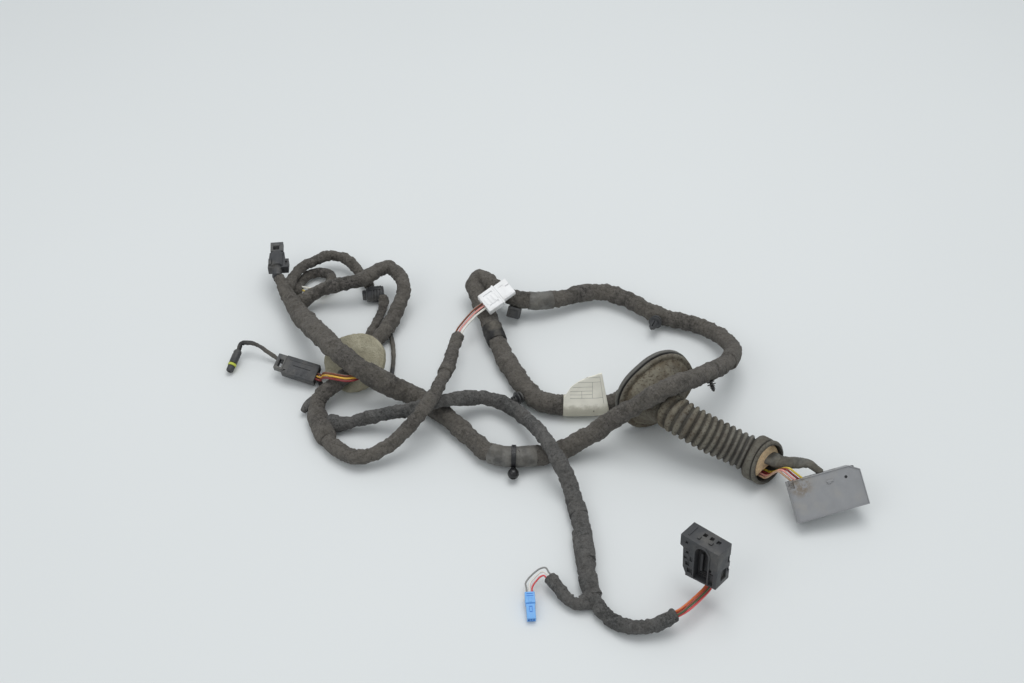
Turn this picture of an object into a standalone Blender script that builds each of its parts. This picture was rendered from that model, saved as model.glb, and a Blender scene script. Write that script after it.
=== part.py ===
"""Door wiring harness: taped strands, a ribbed rubber door boot, and the plugs, clips and seals on them.

The harness lies on the plane z = 0, +X to the right, +Y to the back and +Z up, in metres.
Route points are the centre lines of the strands as they lie, in millimetres.
"""

import math

import bmesh
import bpy
from mathutils import Matrix, Vector

MM = 0.001

# Driving sizes
GAP = 0.3 * MM  # clearance between pieces that touch

TRUNK_D = 18.5 * MM  # main taped strand
ARM_LEFT_D = 14.0 * MM  # arm through the foam disc to the white plug
ARM_FRONT_D = 14.0 * MM  # arm to the motor plug
UPPER_D = 11.0 * MM  # branch to the round plug
CURL_D = 11.0 * MM  # short curled branch with two bare wires
LINK_D = 9.0 * MM  # branch from the round plug back to the left arm
LINK_LEAD_D = 4.6 * MM  # thin lead from the link branch to the trunk
STUB_D = 11.0 * MM  # folded stub with the blue plug
BUNDLE_D = 9.0 * MM  # taped bundle from the boot to the door plug
PROBE_LEAD_D = 4.6 * MM  # lead of the probe plug
WIRE_D = 2.0 * MM  # single insulated wire
FINE_WIRE_D = 1.5 * MM  # thin wires of the blue plug

TAPE_T = 0.7 * MM  # thickness of a wound tape band

FLANGE_A = 40.5 * MM  # half length of the oval flange
FLANGE_B = 33.5 * MM  # half height of the oval flange
FLANGE_T = 9.0 * MM  # flange thickness
FLANGE_GROOVE = 2.6 * MM  # depth of the panel groove in the rim
BELLOWS_R = 17.2 * MM  # crest radius of the ribs
BELLOWS_ROOT_R = 14.6 * MM  # root radius between the ribs
BELLOWS_RIBS = 13
COLLAR_R = 21.0 * MM
COLLAR_L = 21.0 * MM
MOUTH_R = 17.5 * MM
MOUTH_DEPTH = 12.0 * MM
BOOT_FOAM_L = 9.0 * MM
GROMMET_SIDES = 22

DISC_R = 30.5 * MM  # foam seal disc
DISC_T = 8.0 * MM
LABEL_L = 41.0 * MM
LABEL_H = 36.0 * MM
LABEL_T = 0.5 * MM

DOOR_PLUG = Vector((65.0, 37.0, 11.0)) * MM  # cover length, width and height
DOOR_PLUG_BODY_H = 6.5 * MM
DOOR_PLUG_CHAMFER = 9.0 * MM
MOTOR_PLUG = Vector((33.0, 20.0, 37.0)) * MM
WHITE_PLUG = Vector((33.0, 21.0, 9.0)) * MM
BLUE_PLUG = Vector((24.5, 8.5, 7.0)) * MM
REAR_PLUG = Vector((22.0, 15.0, 13.0)) * MM
REAR_CAP = Vector((13.0, 13.0, 10.0)) * MM
FLAT_PLUG = Vector((43.0, 19.0, 9.5)) * MM
FLAT_LATCH_L = 9.0 * MM
ROUND_PLUG_R = 8.2 * MM
ROUND_PLUG_L = 18.0 * MM
PROBE_R = 4.0 * MM
PROBE_L = 24.0 * MM

# Routes, in millimetres
TRUNK_ROUTE = [
    (104, 41, 29), (99, 43, 25), (93, 36, 20.5), (86, 27, 17), (76, 21, 14), (64, 18, 12.5), (50, 17.5, 12),
    (34, 18, 11.5), (16, 20, 11.5), (0, 31, 10.5), (-15, 57, 10), (-32, 95, 12), (-42, 127, 15),
    (-53, 157, 20), (-59, 177, 24), (-54, 183, 26), (-41, 171, 25), (-22, 156, 23), (1, 153, 20),
    (25, 159, 17), (55, 170, 15),
    (76, 172, 14), (101, 159, 13), (125, 142, 12), (149, 133, 11), (170, 123, 12), (186, 106, 16),
    (193, 83, 24), (189, 60, 33), (177, 39, 43), (162, 22, 53), (145, 4, 63), (127, -10, 70),
    (110, -18, 66), (93, -20, 54), (76, -22, 41), (59, -27, 28), (42, -32, 18), (25, -38, 12),
    (8, -43, 11.5), (-9, -46, 13), (-29, -46, 13), (-44, -38, 12), (-58, -22, 10.5), (-73, -4, 10.5),
    (-89, 13, 10.5), (-105, 25, 12), (-124, 31, 18), (-145, 34, 30), (-166, 42, 40), (-187, 63, 41),
    (-210, 94, 35), (-229, 129, 22), (-242, 153, 19), (-251, 167, 23), (-255.5, 176.5, 27.5),
]
# tape builds the strand up and thins it out along its length: share of the length, share of TRUNK_D
TRUNK_SWELL = [
    (0.0, 0.78), (0.045, 0.84), (0.07, 1.0), (0.10, 1.06), (0.20, 1.04), (0.26, 0.95), (0.45, 0.93),
    (0.58, 0.96), (0.66, 1.0),
    (0.76, 1.0), (0.82, 1.12), (0.95, 1.12), (0.985, 0.9), (1.0, 0.6),
]
ARM_LEFT_ROUTE = [
    (-240, 151, 12), (-231, 160, 14), (-218, 167, 19), (-199, 170, 25), (-181, 172, 29), (-167, 176, 31),
    (-156, 186, 32), (-146, 191, 31), (-137, 185, 29), (-131, 174, 26), (-130, 161, 22), (-134, 147, 18),
    (-139, 134, 14), (-146, 120, 11), (-156, 105, 9.5), (-166, 83, 12), (-176, 57, 18), (-184, 40, 20),
    (-195, 33, 17), (-203, 27, 12), (-205, 17, 9), (-202, 5, 8), (-198, -6, 8), (-193, -17, 8),
    (-187, -27, 8), (-178, -36, 9), (-165, -45, 11), (-152, -46, 13), (-136, -40, 18), (-120, -32, 28),
    (-109, -24, 37), (-99, -12, 44), (-90, 7, 44), (-83, 35, 38), (-78, 63, 31), (-75, 87, 26),
    (-73, 99, 24),
]
ARM_LEFT_SWELL = [(0.0, 0.95), (0.1, 1.07), (0.5, 1.1), (0.62, 1.1), (0.7, 0.97), (1.0, 0.92)]
ARM_FRONT_ROUTE = [
    (-191, -1, 8), (-178, -3, 9), (-169, -2, 11), (-147, 0, 17), (-125, -1, 24), (-108, -1, 28.5),
    (-91, 6, 29), (-72, 14, 25), (-55, 21, 19), (-40, 23, 15), (-20, 13, 14), (-5, -8, 19), (7, -32, 28),
    (13, -47, 31), (20, -61, 29), (26, -70, 23), (30, -77, 16), (35, -91, 10), (40, -117, 8),
    (42, -142, 8), (44, -169, 8), (46, -186, 8), (50, -199, 7), (57, -212, 7), (65, -220, 7), (74, -225, 8),
    (88, -228, 10), (100, -226, 13), (109, -223, 16), (114, -221, 18),
]
ARM_FRONT_SWELL = [
    (0.0, 0.93), (0.3, 1.02), (0.5, 1.0), (0.6, 1.12), (0.76, 1.2), (0.83, 0.95), (1.0, 0.88),
]
UPPER_ROUTE = [
    (-250, 168, 20), (-247, 182, 18.5), (-242, 197, 18.5), (-235, 208, 18.5), (-223, 216.5, 18.5),
    (-215, 221, 19), (-206, 224, 18),
    (-195, 222, 16), (-185, 213, 14), (-175, 201, 9.5), (-168, 191, 8),
]
CURL_ROUTE = [
    (-243, 170, 11), (-241, 187, 7.5), (-236, 200, 7), (-227, 208, 7), (-216, 208, 8), (-208, 201, 10),
    (-206, 192, 11), (-210, 184, 11),
]
LINK_ROUTE = [
    (-151, 166.5, 8), (-151, 158, 7), (-153, 149, 6), (-156, 138, 5.5), (-160, 122, 6), (-158, 110, 8),
]
LINK_LEAD_ROUTE = [
    (-147, 128, 8), (-141, 118, 5), (-138.5, 108, 3), (-137, 96, 3), (-136.5, 82, 3), (-137, 66, 4),
    (-139, 52, 9), (-143, 40, 20),
]
STUB_ROUTE = [(53, -190, 8), (46, -197, 8), (37, -202, 7), (28, -199, 7), (20, -189, 9), (12, -179, 11)]
PROBE_LEAD_ROUTE = [
    (-288, 91, 12), (-285, 95.5, 14), (-279, 98, 15), (-270, 96, 14), (-260, 91, 10), (-250, 85.5, 5.5),
    (-240, 80, 3), (-226, 73, 2.6), (-213, 66, 2.6), (-206, 58, 2.8), (-204, 47, 3), (-206, 37, 4),
    (-206, 26, 9),
]

# grommet: flange centre, its normal towards the boot, its long axis, and the boot's centre line
FLANGE_AT = Vector((115.5, 11.0, 37.8)) * MM
FLANGE_NORMAL = Vector((0.402, -0.88, 0.252)).normalized()
FLANGE_LONG = Vector((0.741, 0.475, 0.475))
BOOT_ROOT = Vector((124.0, -16.5, 42.8)) * MM
BOOT_MOUTH = Vector((211.0, -63.5, 23.2)) * MM
BOOT_MOUTH_DIR = Vector((0.75, -0.645, 0.12)).normalized()
DISC_AT = Vector((-171.5, 66.0, 20.5)) * MM
DISC_UP = (-0.18, -0.45, 0.87)
PROBE_DIR = Vector((-0.28, -0.82, -0.29)).normalized()  # the probe plug points this way from its lead


# Helpers
def clear_scene():
    for obj in list(bpy.data.objects):
        bpy.data.objects.remove(obj, do_unlink=True)


def finish(name, color, roughness, metallic=0.0):
    mat = bpy.data.materials.new(name)
    mat.use_nodes = True
    shader = mat.node_tree.nodes["Principled BSDF"]
    shader.inputs["Base Color"].default_value = (*color, 1.0)
    shader.inputs["Roughness"].default_value = roughness
    shader.inputs["Metallic"].default_value = metallic
    mat.diffuse_color = (*color, 1.0)
    return mat


def smooth_path(points, step=1.5 * MM):
    """Evenly spaced points along the centripetal curve through the route points."""
    pts = [Vector(p) for p in points]
    ext = [pts[0] * 2 - pts[1]] + pts + [pts[-1] * 2 - pts[-2]]
    fine = []
    for i in range(1, len(ext) - 2):
        p0, p1, p2, p3 = ext[i - 1 : i + 3]
        t1 = max((p1 - p0).length, 1e-9) ** 0.5
        t2 = t1 + max((p2 - p1).length, 1e-9) ** 0.5
        t3 = t2 + max((p3 - p2).length, 1e-9) ** 0.5
        for k in range(20):
            t = t1 + (t2 - t1) * k / 20
            a1 = p0.lerp(p1, t / t1)
            a2 = p1.lerp(p2, (t - t1) / (t2 - t1))
            a3 = p2.lerp(p3, (t - t2) / (t3 - t2))
            b1 = a1.lerp(a2, t / t2)
            b2 = a2.lerp(a3, (t - t1) / (t3 - t1))
            fine.append(b1.lerp(b2, (t - t1) / (t2 - t1)))
    fine.append(pts[-1])
    return resample(fine, step)


def path_length(path):
    return sum((b - a).length for a, b in zip(path, path[1:]))


def resample(path, step):
    total = path_length(path)
    count = max(2, round(total / step) + 1)
    out = [path[0].copy()]
    want = total / (count - 1)
    run = 0.0
    for a, b in zip(path, path[1:]):
        seg = (b - a).length
        while seg > 0 and run + seg >= want * len(out) - 1e-12 and len(out) < count - 1:
            out.append(a.lerp(b, (want * len(out) - run) / seg))
        run += seg
    out.append(path[-1].copy())
    return out


def tangent(path, i):
    a = path[max(i - 1, 0)]
    b = path[min(i + 1, len(path) - 1)]
    return (b - a).normalized()


def side_axes(direction, hint=Vector((0, 0, 1))):
    """Two unit vectors square to a direction, the second the nearer to the hint."""
    side = direction.cross(hint)
    if side.length < 1e-6:
        side = direction.cross(Vector((0, 1, 0)))
    side.normalize()
    return side, side.cross(direction).normalized()


def swell_at(swell, share):
    for (s0, k0), (s1, k1) in zip(swell, swell[1:]):
        if share <= s1:
            t = (share - s0) / (s1 - s0)
            t = t * t * (3 - 2 * t)
            return k0 + (k1 - k0) * t
    return swell[-1][1]


class Strand:
    """A round taped strand: its dense centre line and the radius at each of its points."""

    def __init__(self, route, diameter, swell=((0.0, 1.0), (1.0, 1.0)), spacing=None, limit=80, heads=None):
        fine = smooth_path([Vector(p) * MM for p in route])
        spacing = spacing or diameter
        count = min(limit, max(5, round(path_length(fine) / spacing) + 1))
        knots = resample(fine, path_length(fine) / (count - 1))
        self.diameter = diameter
        rad = [diameter / 2 * swell_at(swell, i / (count - 1)) for i in range(count)]
        for point, radius in zip(knots, rad):
            point.z = max(point.z, radius + GAP / 2)
        if heads:
            # the first and last pieces stand square to the faces that they leave
            knots[1] = knots[0] + heads[0] * (knots[1] - knots[0]).length
            knots[-2] = knots[-1] + heads[1] * (knots[-2] - knots[-1]).length
        # dense points on the straight pieces between the knots, so that seats follow the built shape
        self.path, self.radii, self.knots = [], [], []
        for k in range(count - 1):
            parts = max(2, round((knots[k + 1] - knots[k]).length / (1.0 * MM)))
            self.knots.append(len(self.path))
            for j in range(parts):
                self.path.append(knots[k].lerp(knots[k + 1], j / parts))
                self.radii.append(rad[k] + (rad[k + 1] - rad[k]) * j / parts)
        self.knots.append(len(self.path))
        self.path.append(knots[-1])
        self.radii.append(rad[-1])

    def trim_start(self, index):
        self.path = self.path[index:]
        self.radii = self.radii[index:]
        self.knots = [0] + [k - index for k in self.knots if k - index > 1]

    def reverse(self):
        self.path.reverse()
        self.radii.reverse()
        last = len(self.path) - 1
        self.knots = [last - k for k in reversed(self.knots)]

    def clearance(self, point):
        return min((point - p).length - r for p, r in zip(self.path, self.radii))

    def nearest(self, point):
        return min(range(len(self.path)), key=lambda i: (self.path[i] - point).length)

    def seat_start(self, *carriers):
        """Shorten the strand so that its first face meets the carriers' sides with the clearance."""
        reach = min(len(self.path) // 2, 45)
        blocked = [
            i
            for i in range(reach)
            if self.cap_gap(self.path[i], tangent(self.path, i + 1), self.radii[i], carriers) < GAP
        ]
        if not blocked:
            return
        i = blocked[-1] + 1
        a, b = self.path[i - 1], self.path[i]
        along = tangent(self.path, i)
        low, high = 0.0, 1.0
        for _ in range(12):
            mid = (low + high) / 2
            if self.cap_gap(a.lerp(b, mid), along, self.radii[i], carriers) >= GAP:
                high = mid
            else:
                low = mid
        self.trim_start(i)
        self.path[0] = a.lerp(b, high)

    @staticmethod
    def cap_gap(centre, along, radius, carriers):
        side, up = side_axes(along)
        rim = [centre]
        for k in range(16):
            a = 2 * math.pi * k / 16
            rim.append(centre + (side * math.cos(a) + up * math.sin(a)) * radius)
        return min(carrier.clearance(p) for p in rim for carrier in carriers)

    def seat_end(self, *carriers):
        self.reverse()
        self.seat_start(*carriers)
        self.reverse()

    def end_face(self, at_end=True):
        """Centre and outward direction of an end face."""
        if at_end:
            return self.path[-1].copy(), (self.path[-1] - self.path[-2]).normalized()
        return self.path[0].copy(), (self.path[0] - self.path[1]).normalized()

    def build(self, name, mat, sides=10):
        """The strand as a bevelled curve with filled ends."""
        curve = bpy.data.curves.new(name, "CURVE")
        curve.dimensions = "3D"
        curve.bevel_depth = self.diameter / 2
        curve.bevel_resolution = (sides - 4) // 2
        curve.use_fill_caps = True
        spline = curve.splines.new("POLY")
        spline.points.add(len(self.knots) - 1)
        for k, i in enumerate(self.knots):
            spline.points[k].co = (*self.path[i], 1.0)
            spline.points[k].radius = self.radii[i] / (self.diameter / 2)
        spline.use_smooth = True
        curve.materials.append(mat)
        obj = bpy.data.objects.new(name, curve)
        bpy.context.scene.collection.objects.link(obj)
        return obj


def wire_route(
    start, start_dir, end, end_dir, middle=(), lead=3.5 * MM, radius=0.0, start_face=None, end_face=None
):
    """A wire's points: out of one face, past its chosen points and into the other face.

    A wire that leaves its face at a slant is drawn back until the rim of its cut end is clear of the face.
    """
    first, last = start, end
    for which, heading_out, face in ((0, start_dir, start_face), (1, end_dir, end_face)):
        square = face or heading_out
        tilt = math.sqrt(max(0.0, 1 - heading_out.dot(square) ** 2))
        shift = square * (GAP + radius * tilt)
        if which == 0:
            first = start + shift
        else:
            last = end + shift
    points = [first, first + start_dir * lead, *middle, last + end_dir * lead, last]
    return [p / MM for p in points]


def add_wire(name, mat, route, diameter=WIRE_D, seat_on=()):
    first, second = Vector(route[0]), Vector(route[1])
    last, before = Vector(route[-1]), Vector(route[-2])
    heads = ((second - first).normalized(), (before - last).normalized())
    strand = Strand(route, diameter, spacing=diameter * 3, heads=heads)
    if seat_on:
        strand.seat_end(*seat_on)
    strand.build(name, mat, sides=8)
    return strand


def mesh_object(name, bm, mat, frame=None, sharp=35.0):
    bmesh.ops.recalc_face_normals(bm, faces=bm.faces)
    mesh = bpy.data.meshes.new(name)
    bm.to_mesh(mesh)
    bm.free()
    mesh.materials.append(mat)
    mesh.shade_smooth()
    mesh.set_sharp_from_angle(angle=math.radians(sharp))
    obj = bpy.data.objects.new(name, mesh)
    bpy.context.scene.collection.objects.link(obj)
    if frame is not None:
        obj.matrix_world = frame
    return obj


def frame_at(origin, x_axis, z_axis):
    """A placement whose z is exact and whose x is the nearest square direction."""
    z = Vector(z_axis).normalized()
    x = Vector(x_axis)
    x = (x - z * x.dot(z)).normalized()
    y = z.cross(x)
    turn = Matrix((x, y, z)).transposed().to_4x4()
    return Matrix.Translation(Vector(origin)) @ turn


def add_box(bm, low, high, bevel=0.0, segments=1):
    """A box between two corners in local metres, with its edges bevelled."""
    centre = (Vector(low) + Vector(high)) / 2
    size = Vector(high) - Vector(low)
    made = bmesh.ops.create_cube(bm, size=1.0)
    verts = made["verts"]
    bmesh.ops.scale(bm, vec=size, verts=verts)
    bmesh.ops.translate(bm, vec=centre, verts=verts)
    if bevel > 0:
        edges = list({e for v in verts for e in v.link_edges})
        bmesh.ops.bevel(bm, geom=edges, offset=bevel, segments=segments, affect="EDGES", profile=0.5)
    return bm


def add_prism(bm, outline, low, high):
    """An outline in x and y, extruded from z = low to z = high."""
    verts = [bm.verts.new((x, y, low)) for x, y in outline]
    face = bm.faces.new(verts)
    moved = bmesh.ops.extrude_face_region(bm, geom=[face])
    top = [v for v in moved["geom"] if isinstance(v, bmesh.types.BMVert)]
    bmesh.ops.translate(bm, vec=(0, 0, high - low), verts=top)
    return bm


def add_cylinder(bm, centre, direction, radius, length, sides=16, far_radius=None):
    """A cylinder or cone from a centre point along a direction."""
    far_radius = radius if far_radius is None else far_radius
    made = bmesh.ops.create_cone(
        bm, cap_ends=True, segments=sides, radius1=radius, radius2=far_radius, depth=length
    )
    direction = Vector(direction).normalized()
    turn = Vector((0, 0, 1)).rotation_difference(direction).to_matrix().to_4x4()
    place = Matrix.Translation(Vector(centre) + direction * length / 2) @ turn
    bmesh.ops.transform(bm, matrix=place, verts=made["verts"])
    return bm


def boolean(obj, bm, frame, operation="DIFFERENCE"):
    """Cut a shape out of an object, or join it on, with an exact Boolean."""
    bmesh.ops.recalc_face_normals(bm, faces=bm.faces)
    mesh = bpy.data.meshes.new(obj.name + "_tool")
    bm.to_mesh(mesh)
    bm.free()
    tool = bpy.data.objects.new(obj.name + "_tool", mesh)
    bpy.context.scene.collection.objects.link(tool)
    tool.matrix_world = frame
    tool.hide_render = True
    tool.display_type = "WIRE"
    mod = obj.modifiers.new(operation.title(), "BOOLEAN")
    mod.operation = operation
    mod.solver = "EXACT"
    mod.object = tool
    return obj


def loft(name, rings, mat, sharp=35.0, closed=False):
    """One closed skin through rings of equal counts, capped at both ends unless it closes on itself."""
    bm = bmesh.new()
    loops = [[bm.verts.new(p) for p in ring] for ring in rings]
    pairs = list(zip(loops, loops[1:]))
    if closed:
        pairs.append((loops[-1], loops[0]))
    for a, b in pairs:
        n = len(a)
        for k in range(n):
            bm.faces.new((a[k], a[(k + 1) % n], b[(k + 1) % n], b[k]))
    if not closed:
        bm.faces.new(list(reversed(loops[0])))
        bm.faces.new(loops[-1])
    return mesh_object(name, bm, mat, None, sharp)


def sleeve_stations(strand, centre, length):
    """Indices along a strand for a sleeve: its two ends and each knot between them."""
    mid = strand.nearest(centre)
    low = high = mid
    while low > 0 and path_length(strand.path[low : mid + 1]) < length / 2:
        low -= 1
    while high < len(strand.path) - 1 and path_length(strand.path[mid : high + 1]) < length / 2:
        high += 1
    for knot in strand.knots:
        if abs(knot - low) <= 3:
            low = knot
        if abs(knot - high) <= 3:
            high = knot
    return [low, *[k for k in strand.knots if low < k < high], high]


def sleeve_axes(strand, stations):
    """Square axes at each station that turn as little as the strand does."""
    axes = []
    side = None
    for i in stations:
        along = tangent(strand.path, i)
        if side is None:
            side, up = side_axes(along)
        else:
            side = (side - along * side.dot(along)).normalized()
            up = side.cross(along)
        axes.append((along, side, up))
    return axes


def sleeve_radius(strand, index, sides=12, thickness=TAPE_T):
    return (strand.radii[index] + GAP) / math.cos(math.pi / sides) * 1.012 + thickness


def tape_band(name, strand, centre, length, mat, sides=12, thickness=TAPE_T):
    """A sleeve of wound tape around a strand, clear of it all round."""
    stations = sleeve_stations(strand, centre, length)
    rings_in, rings_out = [], []
    for i, (along, side, up) in zip(stations, sleeve_axes(strand, stations)):
        outer = sleeve_radius(strand, i, sides, thickness)
        inner = outer - thickness
        turn = [
            side * math.cos(2 * math.pi * j / sides) + up * math.sin(2 * math.pi * j / sides)
            for j in range(sides)
        ]
        rings_in.append([strand.path[i] + v * inner for v in turn])
        rings_out.append([strand.path[i] + v * outer for v in turn])
    return loft(name, rings_out + list(reversed(rings_in)), mat, closed=True)


# Rubber door boot
def superoval(centre, long_axis, short_axis, a, b, power, count):
    ring = []
    for k in range(count):
        t = 2 * math.pi * k / count
        c, s = math.cos(t), math.sin(t)
        x = math.copysign(abs(c) ** (2 / power), c) * a
        y = math.copysign(abs(s) ** (2 / power), s) * b
        ring.append(centre + long_axis * x + short_axis * y)
    return ring


def bezier(p0, p1, p2, p3, t):
    return p0 * (1 - t) ** 3 + p1 * 3 * (1 - t) ** 2 * t + p2 * 3 * (1 - t) * t**2 + p3 * t**3


def boot_line():
    """The boot's centre line from the dome to the mouth."""
    p1 = BOOT_ROOT + FLANGE_NORMAL * 21 * MM + BOOT_MOUTH_DIR * 8 * MM
    p2 = BOOT_MOUTH - BOOT_MOUTH_DIR * 42 * MM
    return resample([bezier(BOOT_ROOT, p1, p2, BOOT_MOUTH, k / 60) for k in range(61)], 0.5 * MM)


def make_grommet(mat, count=GROMMET_SIDES):
    """Oval flange with a panel groove, domed neck, ribbed boot and an open collar, as one moulding."""
    normal = FLANGE_NORMAL
    long_axis = (FLANGE_LONG - normal * FLANGE_LONG.dot(normal)).normalized()
    short_axis = normal.cross(long_axis)
    back = FLANGE_AT - normal * FLANGE_T

    def oval(offset, inset, power=2.3):
        return superoval(
            back + normal * offset, long_axis, short_axis, FLANGE_A - inset, FLANGE_B - inset, power, count
        )

    rings = [oval(2.5 * MM, 14.0 * MM), oval(2.0 * MM, 4.6 * MM), oval(0.0, 3.6 * MM), oval(0.0, 1.2 * MM)]
    rings += [oval(1.2 * MM, 0.0), oval(3.2 * MM, 0.0), oval(3.9 * MM, FLANGE_GROOVE)]
    rings += [oval(5.4 * MM, FLANGE_GROOVE), oval(6.0 * MM, 0.6 * MM), oval(7.8 * MM, 0.6 * MM)]
    rings += [oval(FLANGE_T, 2.0 * MM), oval(FLANGE_T, 4.4 * MM)]

    line = boot_line()
    root_dir = tangent(line, 0)
    # the dome runs from the flange's oval to the first round rib
    for share, inset in ((0.22, 6.0 * MM), (0.45, 9.5 * MM), (0.68, 13.5 * MM), (0.86, 16.5 * MM)):
        centre = FLANGE_AT.lerp(BOOT_ROOT, share)
        a = (FLANGE_A - inset) * (1 - share) + BELLOWS_ROOT_R * share * 1.12
        b = (FLANGE_B - inset * 0.8) * (1 - share) + BELLOWS_ROOT_R * share * 1.12
        along = normal.lerp(root_dir, share).normalized()
        axis_a = (long_axis - along * long_axis.dot(along)).normalized()
        rings.append(superoval(centre, axis_a, along.cross(axis_a), a, b, 2.3 - 0.3 * share, count))

    total = path_length(line)
    step = total / (len(line) - 1)
    rib_zone = total - COLLAR_L
    pitch = rib_zone / BELLOWS_RIBS

    def ring_at(dist, radius):
        i = min(len(line) - 1, max(0, round(dist / step)))
        along = tangent(line, i)
        axis_a = (long_axis - along * long_axis.dot(along)).normalized()
        return superoval(line[i], axis_a, along.cross(axis_a), radius, radius, 2.0, count)

    for rib in range(BELLOWS_RIBS):
        start = rib * pitch
        rings.append(ring_at(start + pitch * 0.12, BELLOWS_ROOT_R))
        rings.append(ring_at(start + pitch * 0.42, BELLOWS_R - 0.2 * MM))
        rings.append(ring_at(start + pitch * 0.80, BELLOWS_R - 0.4 * MM))
    rings.append(ring_at(rib_zone, BELLOWS_ROOT_R + 0.5 * MM))
    rings.append(ring_at(rib_zone + 2.5 * MM, COLLAR_R - 1.6 * MM))
    rings.append(ring_at(rib_zone + 5.0 * MM, COLLAR_R))
    rings.append(ring_at(total - 3.0 * MM, COLLAR_R))
    rings.append(ring_at(total - 0.6 * MM, COLLAR_R - 1.0 * MM))
    rings.append(ring_at(total, COLLAR_R - 2.2 * MM))
    # the mouth is a straight blind hole in the collar
    out = tangent(line, len(line) - 1)
    axis_a = (long_axis - out * long_axis.dot(out)).normalized()
    for depth, radius in ((0.0, MOUTH_R), (MOUTH_DEPTH, MOUTH_R)):
        centre = BOOT_MOUTH - out * depth
        rings.append(superoval(centre, axis_a, out.cross(axis_a), radius, radius, 2.0, count))
    return loft("grommet", rings, mat, sharp=50.0)


def mouth_frame(depth):
    """Placement in the mouth, z out of it, at a depth below the rim."""
    line = boot_line()
    out = tangent(line, len(line) - 1)
    return frame_at(BOOT_MOUTH - out * depth, (0, 0, 1), out)


def make_boot_foam(mat):
    """Foam plug that fills the upper part of the mouth, its chord towards the wires."""
    frame = mouth_frame(MOUTH_DEPTH)
    radius = MOUTH_R * math.cos(math.pi / GROMMET_SIDES) - GAP
    outline = []
    cut = math.radians(112)
    for k in range(15):
        a = -cut + 2 * cut * k / 14
        outline.append((radius * math.cos(a), radius * math.sin(a)))
    bm = bmesh.new()
    add_prism(bm, outline, GAP, BOOT_FOAM_L)
    return mesh_object("grommet_foam", bm, mat, frame)


# Plugs
DOOR_PLUG_FRAME = frame_at(Vector((230.8, -123.5, 14.0)) * MM, (0.964, 0.187, 0.187), (0.03, -0.66, 0.75))
MOTOR_PLUG_FRAME = frame_at(Vector((122.0, -185.3, 26.4)) * MM, (0.77, -0.62, 0.14), (0.0, 0.22, 0.975))
WHITE_PLUG_FRAME = frame_at(Vector((-48.0, 130.0, 37.4)) * MM, (0.80, 0.56, 0.2), (-0.05, -0.42, 0.90))
BLUE_PLUG_FRAME = frame_at(Vector((-5.2, -192.5, 10.5)) * MM, (0.06, -0.99, -0.12), (0.0, -0.12, 0.99))
REAR_PLUG_FRAME = frame_at(Vector((-259.6, 189.0, 30.2)) * MM, (-0.10, 0.97, 0.05), (0.0, -0.05, 1.0))
DISC_FRAME = frame_at(DISC_AT, (1, 0, 0), DISC_UP)


def by_disc(beyond, angle, lift):
    """A point beyond or inside the foam disc's edge, at an angle round it and a lift above its middle."""
    a = math.radians(angle)
    r = DISC_R + beyond * MM
    return DISC_FRAME @ Vector((r * math.cos(a), r * math.sin(a), lift * MM))


FLAT_PLUG_FRAME = frame_at(by_disc(7.0, -163.5, 5.4), (-0.93, 0.32, 0.02), (0.0, -0.3, 0.95))
ROUND_PLUG_FRAME = frame_at(Vector((-151.0, 176.2, 8.9)) * MM, (0, 0, 1), (-0.98, -0.16, 0.0))
def on(frame, x, y, z):
    """A point given in a plug's own axes."""
    return frame @ Vector((x, y, z))


def heading(frame, x, y, z):
    return (frame.to_3x3() @ Vector((x, y, z))).normalized()


def make_door_plug(cover_mat, body_mat):
    """Wide plug: a flat cover over a socket body; x length, y width, z out of the cover."""
    length, width, height = DOOR_PLUG
    cut = DOOR_PLUG_CHAMFER
    outline = [(0, 0), (length, 0), (length, width - cut * 0.6), (length - cut, width), (0, width)]
    bm = bmesh.new()
    add_prism(bm, outline, -height, 0.0)
    top = [e for e in bm.edges if all(v.co.z > -1e-6 for v in e.verts)]
    bmesh.ops.bevel(bm, geom=top, offset=0.8 * MM, segments=2, affect="EDGES", profile=0.5)
    cover = mesh_object("door_plug_cover", bm, cover_mat, DOOR_PLUG_FRAME)
    step = bmesh.new()
    add_box(step, (-1 * MM, width - 7 * MM, -2.4 * MM), (5 * MM, width + 1 * MM, 1 * MM))
    add_cylinder(step, (length - 14 * MM, width - 9 * MM, -1.2 * MM), (0, 0, 1), 1.4 * MM, 3 * MM, 12)
    boolean(cover, step, DOOR_PLUG_FRAME)

    bm = bmesh.new()
    base = -height - GAP
    wall = 2.0 * MM
    add_box(bm, (wall, wall, base - DOOR_PLUG_BODY_H), (length - wall, width - wall, base), 0.6 * MM)
    body = mesh_object("door_plug_body", bm, body_mat, DOOR_PLUG_FRAME)
    groove = bmesh.new()
    rim = 2.2 * MM
    outer = [(wall + rim, wall + rim), (length - wall - rim, width - wall - rim)]
    inner = [(outer[0][0] + rim, outer[0][1] + rim), (outer[1][0] - rim, outer[1][1] - rim)]
    low, high = base - DOOR_PLUG_BODY_H - 1 * MM, base - 1.6 * MM
    add_box(groove, (*outer[0], low), (*outer[1], high))
    boolean(body, groove, DOOR_PLUG_FRAME)
    island = bmesh.new()
    add_box(island, (*inner[0], base - DOOR_PLUG_BODY_H + 0.4 * MM), (*inner[1], base - 1.0 * MM))
    boolean(body, island, DOOR_PLUG_FRAME, "UNION")
    return cover, body


def arch_outline(width, height, steps=8):
    """A slot outline with a round top, standing on y = 0."""
    r = width / 2
    outline = [(-r, 0.0), (r, 0.0)]
    for k in range(steps + 1):
        a = math.pi * k / steps
        outline.append((r * math.cos(a), height - r + r * math.sin(a)))
    return outline


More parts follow.
